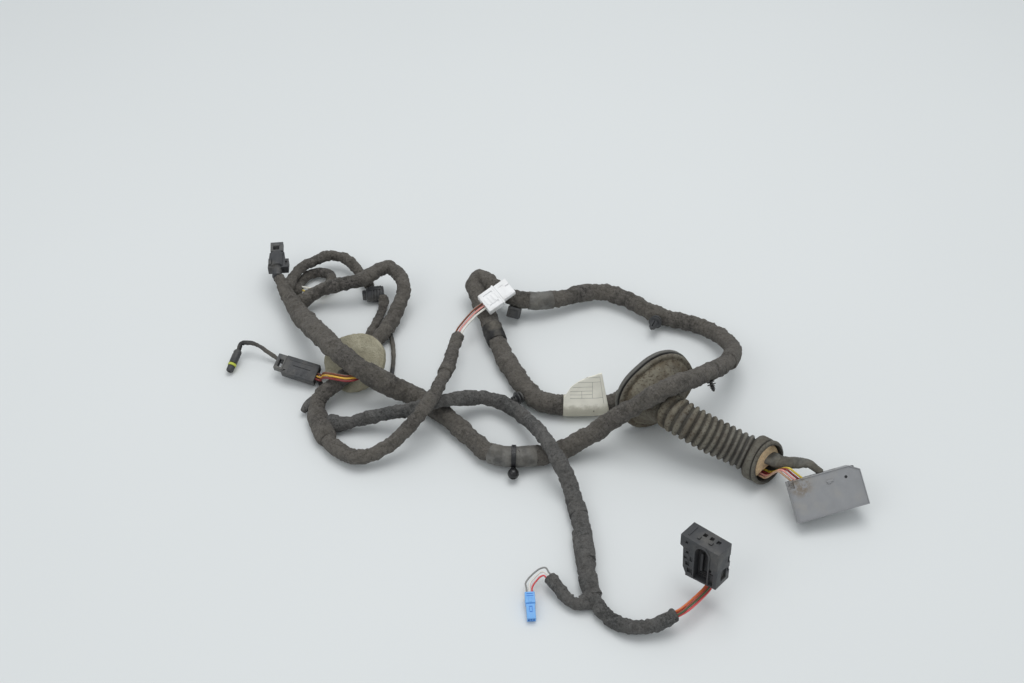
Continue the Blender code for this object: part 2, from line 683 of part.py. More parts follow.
def upright(bm, x=0.0, y=0.0, z=0.0):
    """Stand a shape drawn on x and y up in x and z, its thickness running to the back from y."""
    turn = Matrix(((1, 0, 0, x), (0, 0, 1, y), (0, 1, 0, z), (0, 0, 0, 1)))
    bmesh.ops.transform(bm, matrix=turn, verts=bm.verts)
    bmesh.ops.reverse_faces(bm, faces=bm.faces)
    return bm


def make_motor_plug(mat, dark_mat):
    """Upright plug: x along the wide face, y through it, z up; wires enter from below."""
    length, depth, height = MOTOR_PLUG
    hook = 4 * MM
    outline = [
        (3 * MM, 0), (length, 0), (length, height - 1.5 * MM), (length - 1.5 * MM, height),
        (2 * MM, height + 3.5 * MM), (-hook, height + 1 * MM), (-hook, height * 0.80),
        (-1 * MM, height * 0.76),
        (0, height * 0.22), (3 * MM, height * 0.06),
    ]
    bm = bmesh.new()
    add_prism(bm, outline, 0.0, depth)
    body = mesh_object("motor_plug", upright(bm), mat, MOTOR_PLUG_FRAME)
    # gap behind the hook, key slot and notches down the right side, the two pockets at the lower left,
    # and the slots along the top
    front, back, over = -1 * MM, depth + 1 * MM, height + 6 * MM
    right, past = length, length + 1 * MM
    boxes = [
        ((-6 * MM, depth * 0.25, height * 0.6), (-1.2 * MM, depth * 0.8, height * 0.92)),
        ((right - 2.2 * MM, depth * 0.35, height * 0.12), (past, depth * 0.75, height * 0.4)),
        ((right - 1.4 * MM, depth * 0.8, height * 0.5), (past, back, height * 0.68)),
        ((right - 1.4 * MM, depth * 0.8, height * 0.26), (past, back, height * 0.36)),
        ((2.4 * MM, front, height * 0.30), (6.0 * MM, 1.6 * MM, height * 0.42)),
        ((4.4 * MM, front, height * 0.12), (8.4 * MM, 1.6 * MM, height * 0.24)),
    ]
    for k in range(3):
        left = (10.0 + 6.5 * k) * MM
        boxes.append(((left, depth * 0.55, height - 1.5 * MM), (left + 3.5 * MM, depth * 0.75, over)))
    cuts = bmesh.new()
    for low, high in boxes:
        add_box(cuts, low, high)
    boolean(body, cuts, MOTOR_PLUG_FRAME)
    wide, tall, deep = 12.5 * MM, 26 * MM, 3.5 * MM
    arch = bmesh.new()
    add_prism(arch, arch_outline(wide, tall), 0.0, deep + 1 * MM)
    boolean(body, upright(arch, length * 0.55, -1 * MM, 4 * MM), MOTOR_PLUG_FRAME)
    rim = 1.6 * MM
    lock = bmesh.new()
    add_prism(lock, arch_outline(wide - 2 * rim, tall - 2 * rim), 0.0, 2.2 * MM)
    upright(lock, length * 0.55, deep - 2.2 * MM - GAP, 4 * MM + rim)
    tab = mesh_object("motor_plug_lock", lock, dark_mat, MOTOR_PLUG_FRAME)
    return body, tab


def make_white_plug(mat):
    """Two-part plug lying on the trunk: x away from the wires, y across, z up."""
    length, width, height = WHITE_PLUG
    split = length * 0.56
    bm = bmesh.new()
    add_box(bm, (0, -width / 2, -height), (split, width / 2, 0), 0.8 * MM)
    body = mesh_object("white_plug", bm, mat, WHITE_PLUG_FRAME)
    cuts = bmesh.new()
    for y in (-0.28, 0.28):
        middle = width * y
        low = (4 * MM, middle - 1.2 * MM, -1.2 * MM)
        add_box(cuts, low, (split - 4 * MM, middle + 1.2 * MM, 1 * MM))
    boolean(body, cuts, WHITE_PLUG_FRAME)
    bm = bmesh.new()
    inset = 2.2 * MM
    low = (split + GAP, -width / 2 + inset, -height + 0.8 * MM)
    add_box(bm, low, (length, width / 2 - inset * 0.3, -0.9 * MM), 0.6 * MM)
    lock = mesh_object("white_plug_lock", bm, mat, WHITE_PLUG_FRAME)
    cuts = bmesh.new()
    add_box(cuts, (length - 5 * MM, -4 * MM, -2.2 * MM), (length + 1 * MM, 3 * MM, 1 * MM))
    boolean(lock, cuts, WHITE_PLUG_FRAME)
    return body, lock


def make_blue_plug(mat):
    """Slim plug: x away from the wires, y across, z up."""
    length, width, height = BLUE_PLUG
    split = length * 0.42
    bm = bmesh.new()
    add_box(bm, (0, -width / 2, -height), (split, width / 2, 0), 0.5 * MM)
    body = mesh_object("blue_plug", bm, mat, BLUE_PLUG_FRAME)
    bm = bmesh.new()
    low = (split + GAP, -width / 2 + 0.5 * MM, -height)
    add_box(bm, low, (length, width / 2 - 0.5 * MM, -0.8 * MM), 0.5 * MM)
    nose = mesh_object("blue_plug_nose", bm, mat, BLUE_PLUG_FRAME)
    return body, nose


def make_rear_plug(mat, dark_mat):
    """Plug at the back left: x away from the strand, y across, z up, with a latch box at its nose."""
    length, width, height = REAR_PLUG
    bm = bmesh.new()
    outline = [
        (-11 * MM, -4 * MM), (0, -4 * MM), (0, -width * 0.75), (length * 0.55, -width * 0.8),
        (length * 0.55, -width * 0.55),
        (length, -width * 0.5), (length, width * 0.5), (0, width * 0.62), (0, 4 * MM), (-11 * MM, 4 * MM),
    ]
    add_prism(bm, outline, -height / 2, height / 2)
    sides = [e for e in bm.edges if abs(e.verts[0].co.z - e.verts[1].co.z) > height * 0.9]
    bmesh.ops.bevel(bm, geom=sides, offset=0.8 * MM, segments=1, affect="EDGES", profile=0.5)
    body = mesh_object("rear_plug", bm, mat, REAR_PLUG_FRAME)
    cap_l, cap_w, cap_h = REAR_CAP
    bm = bmesh.new()
    start = length + GAP
    add_box(bm, (start, -cap_w / 2, -cap_h / 2), (start + cap_l, cap_w / 2, cap_h / 2), 0.7 * MM)
    cap = mesh_object("rear_plug_cap", bm, dark_mat, REAR_PLUG_FRAME)
    cuts = bmesh.new()
    low = (start + 2.5 * MM, -0.5 * MM, cap_h / 2 - 2 * MM)
    add_box(cuts, low, (start + 6 * MM, 3.6 * MM, cap_h / 2 + 1 * MM))
    boolean(cap, cuts, REAR_PLUG_FRAME)
    return body, cap


def make_flat_plug(mat, dark_mat):
    """Flat plug: x away from its wires, y across, z up; the latch frame lies at the far end."""
    length, width, height = FLAT_PLUG
    latch = FLAT_LATCH_L
    bm = bmesh.new()
    add_box(bm, (0, -width / 2, -height), (length - latch, width / 2, 0), 0.8 * MM)
    body = mesh_object("flat_plug", bm, mat, FLAT_PLUG_FRAME)
    cuts = bmesh.new()
    add_box(cuts, (6 * MM, -1.0 * MM, -1.0 * MM), (length - latch - 5 * MM, 0.4 * MM, 1 * MM))
    boolean(body, cuts, FLAT_PLUG_FRAME)
    bm = bmesh.new()
    start = length - latch + GAP
    low = (start, -width / 2, -height + 1 * MM)
    add_box(bm, low, (start + latch, width / 2 - 3 * MM, -1.5 * MM), 0.5 * MM)
    frame = mesh_object("flat_plug_latch", bm, dark_mat, FLAT_PLUG_FRAME)
    cuts = bmesh.new()
    add_box(cuts, (start + 2 * MM, -1 * MM, -height), (start + 5 * MM, 3.2 * MM, 1 * MM))
    boolean(frame, cuts, FLAT_PLUG_FRAME)
    return body, frame


def turned(name, profile, mat, frame, sides=16):
    """A solid of revolution about the frame's z from (z, radius) pairs."""
    rings = []
    for z, r in profile:
        ring = []
        for k in range(sides):
            a = 2 * math.pi * k / sides
            ring.append(frame @ Vector((r * math.cos(a), r * math.sin(a), z)))
        rings.append(ring)
    return loft(name, rings, mat)


def make_round_plug(mat, dark_mat):
    """Round ribbed plug lying on its side, z out of its nose."""
    r, length = ROUND_PLUG_R, ROUND_PLUG_L
    rib = 0.8 * MM
    profile = [(0, r * 0.8), (0.8 * MM, r * 0.95)]
    for k in range(4):
        z = 2.0 * MM + k * 3.0 * MM
        profile += [(z, r - rib), (z + 0.5 * MM, r), (z + 2.0 * MM, r), (z + 2.5 * MM, r - rib)]
    profile += [(length - 1.0 * MM, r - rib), (length, r - 2 * rib)]
    body = turned("round_plug", profile, mat, ROUND_PLUG_FRAME, 12)
    start = length + GAP
    profile = [(start, r * 0.62), (start + 3.5 * MM, r * 0.62), (start + 4.2 * MM, r * 0.5)]
    cap = turned("round_plug_nose", profile, dark_mat, ROUND_PLUG_FRAME)
    return body, cap


def make_probe(lead, mat, seal_mat):
    """Probe plug at the end of its lead, with a seal ring near the tip."""
    tip, out = lead.end_face(False)
    frame = frame_at(tip + out * GAP, (0, 0, 1), out)
    r, length = PROBE_R, PROBE_L
    seat = length * 0.62
    ring = 2.4 * MM
    profile = [
        (0, r * 0.7), (2 * MM, r), (seat - 0.5 * MM, r), (seat, r - 1.1 * MM),
        (seat + ring + 2 * GAP, r - 1.1 * MM),
        (seat + ring + 2 * GAP + 0.4 * MM, r * 0.9), (length - 1.5 * MM, r * 0.9), (length, r * 0.6),
    ]
    body = turned("probe_plug", profile, mat, frame, 12)
    spread = 1 / math.cos(math.pi / 12)
    inner = (r - 1.1 * MM) * spread + GAP
    outer = r + 0.2 * MM
    rings = []
    near, far = seat + GAP, seat + GAP + ring
    for z, rad in ((near, inner), (near, outer), (far, outer), (far, inner)):
        turn = [2 * math.pi * k / 12 for k in range(12)]
        rings.append([frame @ Vector((rad * math.cos(a), rad * math.sin(a), z)) for a in turn])
    seal = loft("probe_seal", rings, seal_mat, closed=True)
    return body, seal


# Clips, ties, foam and label
def clip_frame(strand, point, outward, extra=0.0):
    """Placement on a strand's side: x along the strand, z outward from its surface."""
    i = strand.nearest(Vector(point) * MM)
    along = tangent(strand.path, i)
    out = Vector(outward)
    out = (out - along * out.dot(along)).normalized()
    seat = strand.path[i] + out * (strand.radii[i] + GAP + extra)
    return frame_at(seat, along, out)


def make_edge_clip(strand, mat):
    """Box-shaped edge clip below the strand."""
    frame = clip_frame(strand, (-14, 155, 21), (0.05, -0.62, -0.78))
    bm = bmesh.new()
    add_box(bm, (-6.5 * MM, -6.0 * MM, 0), (6.5 * MM, 6.0 * MM, 11.0 * MM), 0.8 * MM)
    clip = mesh_object("clip_edge", bm, mat, frame)
    slot = bmesh.new()
    add_box(slot, (-8 * MM, -1.4 * MM, 4.0 * MM), (8 * MM, 1.4 * MM, 12.0 * MM))
    boolean(clip, slot, frame)
    return clip


def make_fir_clip(name, strand, point, outward, mat, scale=1.0):
    """Fir-tree clip: a round foot on the strand and a stem with stepped fins."""
    frame = clip_frame(strand, point, outward)
    profile = [(0, 5.0), (1.6, 5.0), (2.0, 2.2), (3.4, 2.2), (3.6, 5.6), (4.6, 5.9), (5.4, 2.6)]
    for k in range(3):
        z = 6.0 + 2.2 * k
        r = 3.9 - 0.4 * k
        profile += [(z, 1.8), (z + 0.4, r), (z + 1.6, r - 1.2)]
    profile += [(13.4, 1.4), (14.0, 0.8)]
    return turned(name, [(z * MM * scale, r * MM * scale) for z, r in profile], mat, frame, 10)


def make_tie(strand, point, outward, mat):
    """Cable tie: a closed flat strap round the strand and a ball-shaped head."""
    i = strand.nearest(Vector(point) * MM)
    along = tangent(strand.path, i)
    out = Vector(outward)
    out = (out - along * out.dot(along)).normalized()
    side = out.cross(along)
    sides = 16
    spread = 1 / math.cos(math.pi / sides)
    inner = sleeve_radius(strand, i) + GAP * 2.2
    inner *= spread
    rings = []
    for dz, rad in ((-2.0, inner), (-2.0, inner + 1.1 * MM), (2.0, inner + 1.1 * MM), (2.0, inner)):
        ring = []
        for k in range(sides):
            a = 2 * math.pi * k / sides
            ring.append(strand.path[i] + along * dz * MM + (out * math.cos(a) + side * math.sin(a)) * rad)
        rings.append(ring)
    strap = loft("tie_strap", rings, mat, closed=True)
    frame = frame_at(strand.path[i] + out * (inner + 1.1 * MM + GAP), along, out)
    r = 5.2
    profile = [(0, 2.2)]
    for k in range(1, 7):
        a = math.pi * k / 7
        profile.append((r - r * math.cos(a) + 0.4, r * math.sin(a)))
    profile.append((2 * r + 0.5, 1.0))
    head = turned("tie_head", [(z * MM, rr * MM) for z, rr in profile], mat, frame, 14)
    return strap, head


def make_disc(strand, mat):
    """Foam seal disc threaded on the left arm, its bore made from the strand it holds."""
    frame = DISC_FRAME
    outline = []
    for k in range(36):
        a = 2 * math.pi * k / 36
        r = DISC_R * (1 + 0.035 * math.sin(2 * a + 0.6) + 0.02 * math.sin(3 * a))
        outline.append((r * math.cos(a), r * math.sin(a)))
    bm = bmesh.new()
    add_prism(bm, outline, -DISC_T / 2, DISC_T / 2)
    disc = mesh_object("foam_disc", bm, mat, frame)
    sides = 16
    stations = sleeve_stations(strand, DISC_AT, DISC_R * 2.2)
    bore = bmesh.new()
    loops = []
    for i, (along, side, up) in zip(stations, sleeve_axes(strand, stations)):
        radius = sleeve_radius(strand, i, sides, 0.0)
        ring = []
        for k in range(sides):
            a = 2 * math.pi * k / sides
            ring.append(bore.verts.new(strand.path[i] + (side * math.cos(a) + up * math.sin(a)) * radius))
        loops.append(ring)
    for a, b in zip(loops, loops[1:]):
        for k in range(sides):
            bore.faces.new((a[k], a[(k + 1) % sides], b[(k + 1) % sides], b[k]))
    bore.faces.new(list(reversed(loops[0])))
    bore.faces.new(loops[-1])
    boolean(disc, bore, Matrix.Identity(4))
    return disc, frame


def make_label(strand, mat):
    """Paper flag: a sleeve round the trunk whose ends stand up behind each other as one flag."""
    stations = sleeve_stations(strand, Vector((49.0, 17.5, 12.0)) * MM, LABEL_L)
    low, high = stations[0], stations[-1]
    count = 8
    extra = [round(low + (high - low) * k / count) for k in range(1, count)]
    stations = sorted(stations + [e for e in extra if all(abs(e - i) > 3 for i in stations)])
    sides = 14
    rings_in, rings_out = [], []
    lean = math.radians(112)
    for i in stations:
        along = tangent(strand.path, i)
        if along.x < 0:
            along = -along
        front = Vector((along.y, -along.x, 0)).normalized()
        up = along.cross(front)
        if up.z < 0:
            up = -up
        outer = sleeve_radius(strand, i, sides, LABEL_T)
        inner = outer - LABEL_T
        share = (i - low) / (high - low)
        rise = LABEL_H * math.sqrt(1 - (0.96 * share) ** 2)
        start = math.radians(28)
        turn = []
        for j in range(sides + 1):
            a = start + 2 * math.pi * j / (sides + 1)
            turn.append(front * math.cos(a) + up * math.sin(a))
        fin = front * math.cos(lean) + up * math.sin(lean)
        behind = (front * math.sin(lean) - up * math.cos(lean)) * -LABEL_T
        root = strand.path[i] + turn[0] * outer
        flag = [root, root + fin * rise, root + fin * rise + behind, root + fin * 1.5 * LABEL_T + behind]
        ring_out = flag + [strand.path[i] + v * outer for v in turn[1:]]
        bore = [strand.path[i] + v * inner for v in turn]
        ring_in = [bore[0].lerp(bore[1], t) for t in (0, 0.2, 0.4, 0.6)] + bore[1:]
        rings_in.append(ring_in)
        rings_out.append(ring_out)
    return loft("label", rings_out + list(reversed(rings_in)), mat, closed=True)


# The harness
def main():
    clear_scene()
    tape = finish("cloth_tape", (0.055, 0.050, 0.045), 0.95)
    tape_dark = finish("dark_tape", (0.02, 0.02, 0.022), 0.7)
    tape_grey = finish("grey_tape", (0.13, 0.13, 0.13), 0.45)
    rubber = finish("boot_rubber", (0.05, 0.046, 0.04), 0.7)
    foam_tan = finish("tan_foam", (0.55, 0.42, 0.27), 0.95)
    foam_grey = finish("grey_foam", (0.42, 0.40, 0.34), 0.95)
    grey_plastic = finish("grey_plastic", (0.14, 0.145, 0.155), 0.5)
    black_plastic = finish("black_plastic", (0.025, 0.025, 0.028), 0.45)
    white_plastic = finish("white_plastic", (0.86, 0.87, 0.87), 0.4)
    blue_plastic = finish("blue_plastic", (0.08, 0.28, 0.72), 0.4)
    seal_yellow = finish("seal_yellow", (0.62, 0.62, 0.12), 0.6)
    paper = finish("label_paper", (0.80, 0.78, 0.68), 0.8)
    red = finish("wire_red", (0.70, 0.04, 0.04), 0.4)
    pink = finish("wire_pink", (0.80, 0.42, 0.40), 0.4)
    brown = finish("wire_brown", (0.25, 0.10, 0.05), 0.4)
    white = finish("wire_white", (0.85, 0.84, 0.80), 0.4)
    yellow = finish("wire_yellow", (0.85, 0.66, 0.08), 0.4)
    orange = finish("wire_orange", (0.70, 0.28, 0.05), 0.4)
    green = finish("wire_green", (0.10, 0.35, 0.12), 0.4)
    grey = finish("wire_grey", (0.30, 0.30, 0.30), 0.4)

    grommet_back = FLANGE_AT - FLANGE_NORMAL * (FLANGE_T - 2.5 * MM)
    into_flange = grommet_back - FLANGE_NORMAL * GAP
    run_in = [into_flange, into_flange - FLANGE_NORMAL * 8 * MM, into_flange - FLANGE_NORMAL * 16 * MM]
    trunk_route = [p / MM for p in run_in] + TRUNK_ROUTE
    trunk = Strand(trunk_route, TRUNK_D, TRUNK_SWELL, spacing=13 * MM)
    arm_left = Strand(ARM_LEFT_ROUTE, ARM_LEFT_D, ARM_LEFT_SWELL, spacing=11 * MM)
    arm_front = Strand(ARM_FRONT_ROUTE, ARM_FRONT_D, ARM_FRONT_SWELL, spacing=11 * MM)
    upper = Strand(UPPER_ROUTE, UPPER_D, spacing=8 * MM)
    curl = Strand(CURL_ROUTE, CURL_D, spacing=6 * MM)
    link = Strand(LINK_ROUTE, LINK_D)
    link_lead = Strand(LINK_LEAD_ROUTE, LINK_LEAD_D, spacing=LINK_LEAD_D * 1.6)
    stub = Strand(STUB_ROUTE, STUB_D, spacing=7 * MM)
    into_arm = (Vector(PROBE_LEAD_ROUTE[-2]) - Vector(PROBE_LEAD_ROUTE[-1])).normalized()
    heads = (-PROBE_DIR, into_arm)
    probe_lead = Strand(PROBE_LEAD_ROUTE, PROBE_LEAD_D, spacing=PROBE_LEAD_D * 1.7, heads=heads)

    arm_left.seat_start(trunk)
    arm_front.seat_start(arm_left)
    upper.seat_start(trunk)
    curl.seat_start(trunk, arm_left, upper)
    link.seat_end(arm_left)
    link_lead.seat_start(link, arm_left)
    link_lead.seat_end(trunk)
    stub.seat_start(arm_front)
    probe_lead.seat_end(arm_left)

    trunk.build("trunk", tape)
    arm_left.build("arm_left", tape)
    arm_front.build("arm_front", tape)
    upper.build("branch_upper", tape)
    curl.build("branch_curl", tape)
    link.build("branch_link", tape)
    link_lead.build("lead_link", tape, sides=8)
    stub.build("stub_front", tape)
    probe_lead.build("lead_probe", tape, sides=8)

    make_grommet(rubber)
    make_boot_foam(foam_tan)
    make_door_plug(grey_plastic, black_plastic)
    make_motor_plug(black_plastic, tape_dark)
    make_white_plug(white_plastic)
    make_blue_plug(blue_plastic)
    make_rear_plug(black_plastic, grey_plastic)
    make_flat_plug(black_plastic, grey_plastic)
    make_round_plug(black_plastic, black_plastic)
    make_probe(probe_lead, black_plastic, seal_yellow)

    make_edge_clip(trunk, black_plastic)
    make_fir_clip("clip_fir", trunk, (128, 141, 12), (0.1, -0.8, 0.05), black_plastic, 0.9)
    make_fir_clip("clip_small", trunk, (161, 21, 54), (0.25, -0.75, -0.6), black_plastic, 0.6)
    make_fir_clip("clip_twin", trunk, (-3, 36, 10), (-0.55, -0.8, 0.05), black_plastic, 0.8)
    make_tie(trunk, (-19, -46, 10), (-0.05, -0.9, -0.25), black_plastic)
    tape_band("tape_dark", trunk, Vector((-37, 111, 13.5)) * MM, 20 * MM, tape_dark)
    tape_band("tape_grey", trunk, Vector((8, 155, 19)) * MM, 24 * MM, tape_grey)
    tape_band("tape_smooth", trunk, Vector((-19, -46, 10)) * MM, 42 * MM, tape_grey)
    make_disc(arm_left, foam_grey)
    make_label(trunk, paper)

    # bundle and wires from the mouth of the boot to the door plug
    mouth = mouth_frame(MOUTH_DEPTH)
    floor_out = heading(mouth, 0, 0, 1)
    length, width, height = DOOR_PLUG
    back = heading(DOOR_PLUG_FRAME, 0, 1, 0)
    slant = heading(DOOR_PLUG_FRAME, -0.6, 0.8, 0)
    bundle_end = on(DOOR_PLUG_FRAME, 30 * MM, width, -height * 0.55)
    foam_face = on(mouth, 2.0 * MM, -5.5 * MM, BOOT_FOAM_L)
    route = wire_route(foam_face, floor_out, bundle_end, slant, (), 9 * MM, BUNDLE_D * 0.4, None, back)
    thinning = [(0, 1.0), (0.6, 1.0), (1, 0.7)]
    bundle = Strand(route, BUNDLE_D, thinning, spacing=4 * MM, heads=(floor_out, slant))
    bundle.build("bundle_door", tape_dark)
    for k, (name, mat) in enumerate((("brown", brown), ("pink", pink), ("red", red), ("yellow", yellow))):
        start = on(mouth, -10.0 * MM, (9.0 - 3.0 * k) * MM, 0)
        end = on(DOOR_PLUG_FRAME, (4.0 + 3.2 * k) * MM, width, -height * 0.6)
        route = wire_route(start, floor_out, end, slant, (), 12 * MM, WIRE_D / 2, None, back)
        add_wire("wire_door_" + name, mat, route)

    # motor plug wires
    face, out = arm_front.end_face()
    side, up = side_axes(out)
    below = heading(MOTOR_PLUG_FRAME, 0, 0, -1)
    for k, (name, mat) in enumerate((("red_a", red), ("red_b", red), ("orange", orange), ("green", green))):
        start = face + side * (k % 2 - 0.5) * 3.2 * MM + up * (k // 2 - 0.5) * 3.2 * MM
        end = on(MOTOR_PLUG_FRAME, (20.0 + 3.2 * (k % 2)) * MM, (11.5 - 3.2 * (k // 2)) * MM, 0)
        lead = (9.2, 6.0)[k // 2] * MM
        add_wire("wire_motor_" + name, mat, wire_route(start, out, end, below, (), lead))

    # white plug wires
    face, out = arm_left.end_face()
    side, up = side_axes(out)
    rear = heading(WHITE_PLUG_FRAME, -1, 0, 0)
    for k, (name, mat) in enumerate((("brown", brown), ("pink", pink), ("white", white))):
        start = face + side * (k - 1) * 3.0 * MM
        end = on(WHITE_PLUG_FRAME, 0, (1 - k) * 3.0 * MM, -5.0 * MM)
        add_wire("wire_plug_" + name, mat, wire_route(start, out, end, rear, (), 9 * MM))

    # blue plug wires
    face, out = stub.end_face()
    side, up = side_axes(out)
    rear = heading(BLUE_PLUG_FRAME, -1, 0, 0)
    for k, (name, mat) in enumerate((("red", red), ("white", white), ("grey", grey))):
        start = face + side * (k - 1) * 2.6 * MM
        end = on(BLUE_PLUG_FRAME, 0, (1 - k) * 2.4 * MM, -3.2 * MM)
        route = wire_route(start, out, end, rear, (), (5.0 + 2.6 * k) * MM)
        add_wire("wire_blue_" + name, mat, route, FINE_WIRE_D)

    # flat plug wires climb over the disc and the left arm to the trunk's side
    rear = heading(FLAT_PLUG_FRAME, -1, 0, 0)
    for k, (name, mat) in enumerate((("red", red), ("yellow", yellow), ("orange", orange))):
        start = on(FLAT_PLUG_FRAME, 0, (1.6 - k) * 2.9 * MM, -3.0 * MM)
        shift = Vector((0, (k - 1) * 2.7, (k - 1) * 0.6)) * MM
        over = (by_disc(-1.4, -145, 17.4), by_disc(-5.6, -121, 28.2), by_disc(-5.9, -83, 28.0))
        middle = [p + shift for p in over]
        goal = by_disc(-5.7, -51, 20.5) + shift
        route = wire_route(start, rear, goal, Vector((-0.9, -0.4, 0)).normalized(), middle, 3 * MM)
        add_wire("wire_flat_" + name, mat, route, seat_on=(trunk,))

    # bare wires from the curled branch back to the trunk
    face, out = curl.end_face()
    side, up = side_axes(out)
    for k, (name, mat) in enumerate((("white", white), ("yellow", yellow))):
        start = face + side * (0.5 - k) * 3.0 * MM
        middle = [Vector((-222, 183 - 4 * k, 9 - 2 * k)) * MM]
        goal = Vector((-243, 186 - 5 * k, 9)) * MM
        route = wire_route(start, out, goal, Vector((1, 0, 0)), middle, 3 * MM)
        add_wire("wire_curl_" + name, mat, route, seat_on=(curl,))
main()
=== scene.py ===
"""Door wiring harness, dressed: taped strands, ribbed rubber boot, plugs, clips, foam seals and a paper flag.

The CAD model gives every place. This script gives each piece its fine shape and its finish.
"""

import logging
from collections.abc import Callable, Sequence
from dataclasses import dataclass, field
from enum import Enum
from math import copysign, cos, pi, radians, sin, sqrt

import bmesh
import bpy
import numpy as np
from mathutils import Matrix, Vector, noise


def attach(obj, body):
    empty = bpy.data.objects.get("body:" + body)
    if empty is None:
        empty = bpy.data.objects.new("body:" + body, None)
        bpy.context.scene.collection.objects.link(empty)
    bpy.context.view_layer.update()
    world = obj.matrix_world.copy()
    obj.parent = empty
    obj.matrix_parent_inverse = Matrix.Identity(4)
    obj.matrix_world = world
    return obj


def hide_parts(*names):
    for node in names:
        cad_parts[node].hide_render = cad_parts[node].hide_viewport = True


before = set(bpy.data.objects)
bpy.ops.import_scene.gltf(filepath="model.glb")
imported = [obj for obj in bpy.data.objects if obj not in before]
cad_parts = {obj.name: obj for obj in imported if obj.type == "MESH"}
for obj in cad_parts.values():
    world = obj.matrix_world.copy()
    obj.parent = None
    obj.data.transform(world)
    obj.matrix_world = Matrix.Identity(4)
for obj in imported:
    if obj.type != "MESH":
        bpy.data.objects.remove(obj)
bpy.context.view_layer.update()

MM = 0.001
SHORTEST_CORD = 0.0305  # a shorter wire's path isn't sampled, in metres
TAPE_PITCH = 0.013  # the width of a lap in a band of tape, in metres
FLOOR = 0.0002  # the least height of a skin over the floor, in metres
LOG = logging.getLogger("harness")

Object, Node, Socket, Tree = bpy.types.Object, bpy.types.Node, bpy.types.NodeSocket, bpy.types.NodeTree
EditMesh = bmesh.types.BMesh
Ring = list[Vector]
Rings = tuple[list[Ring], list[tuple[float, float]]]

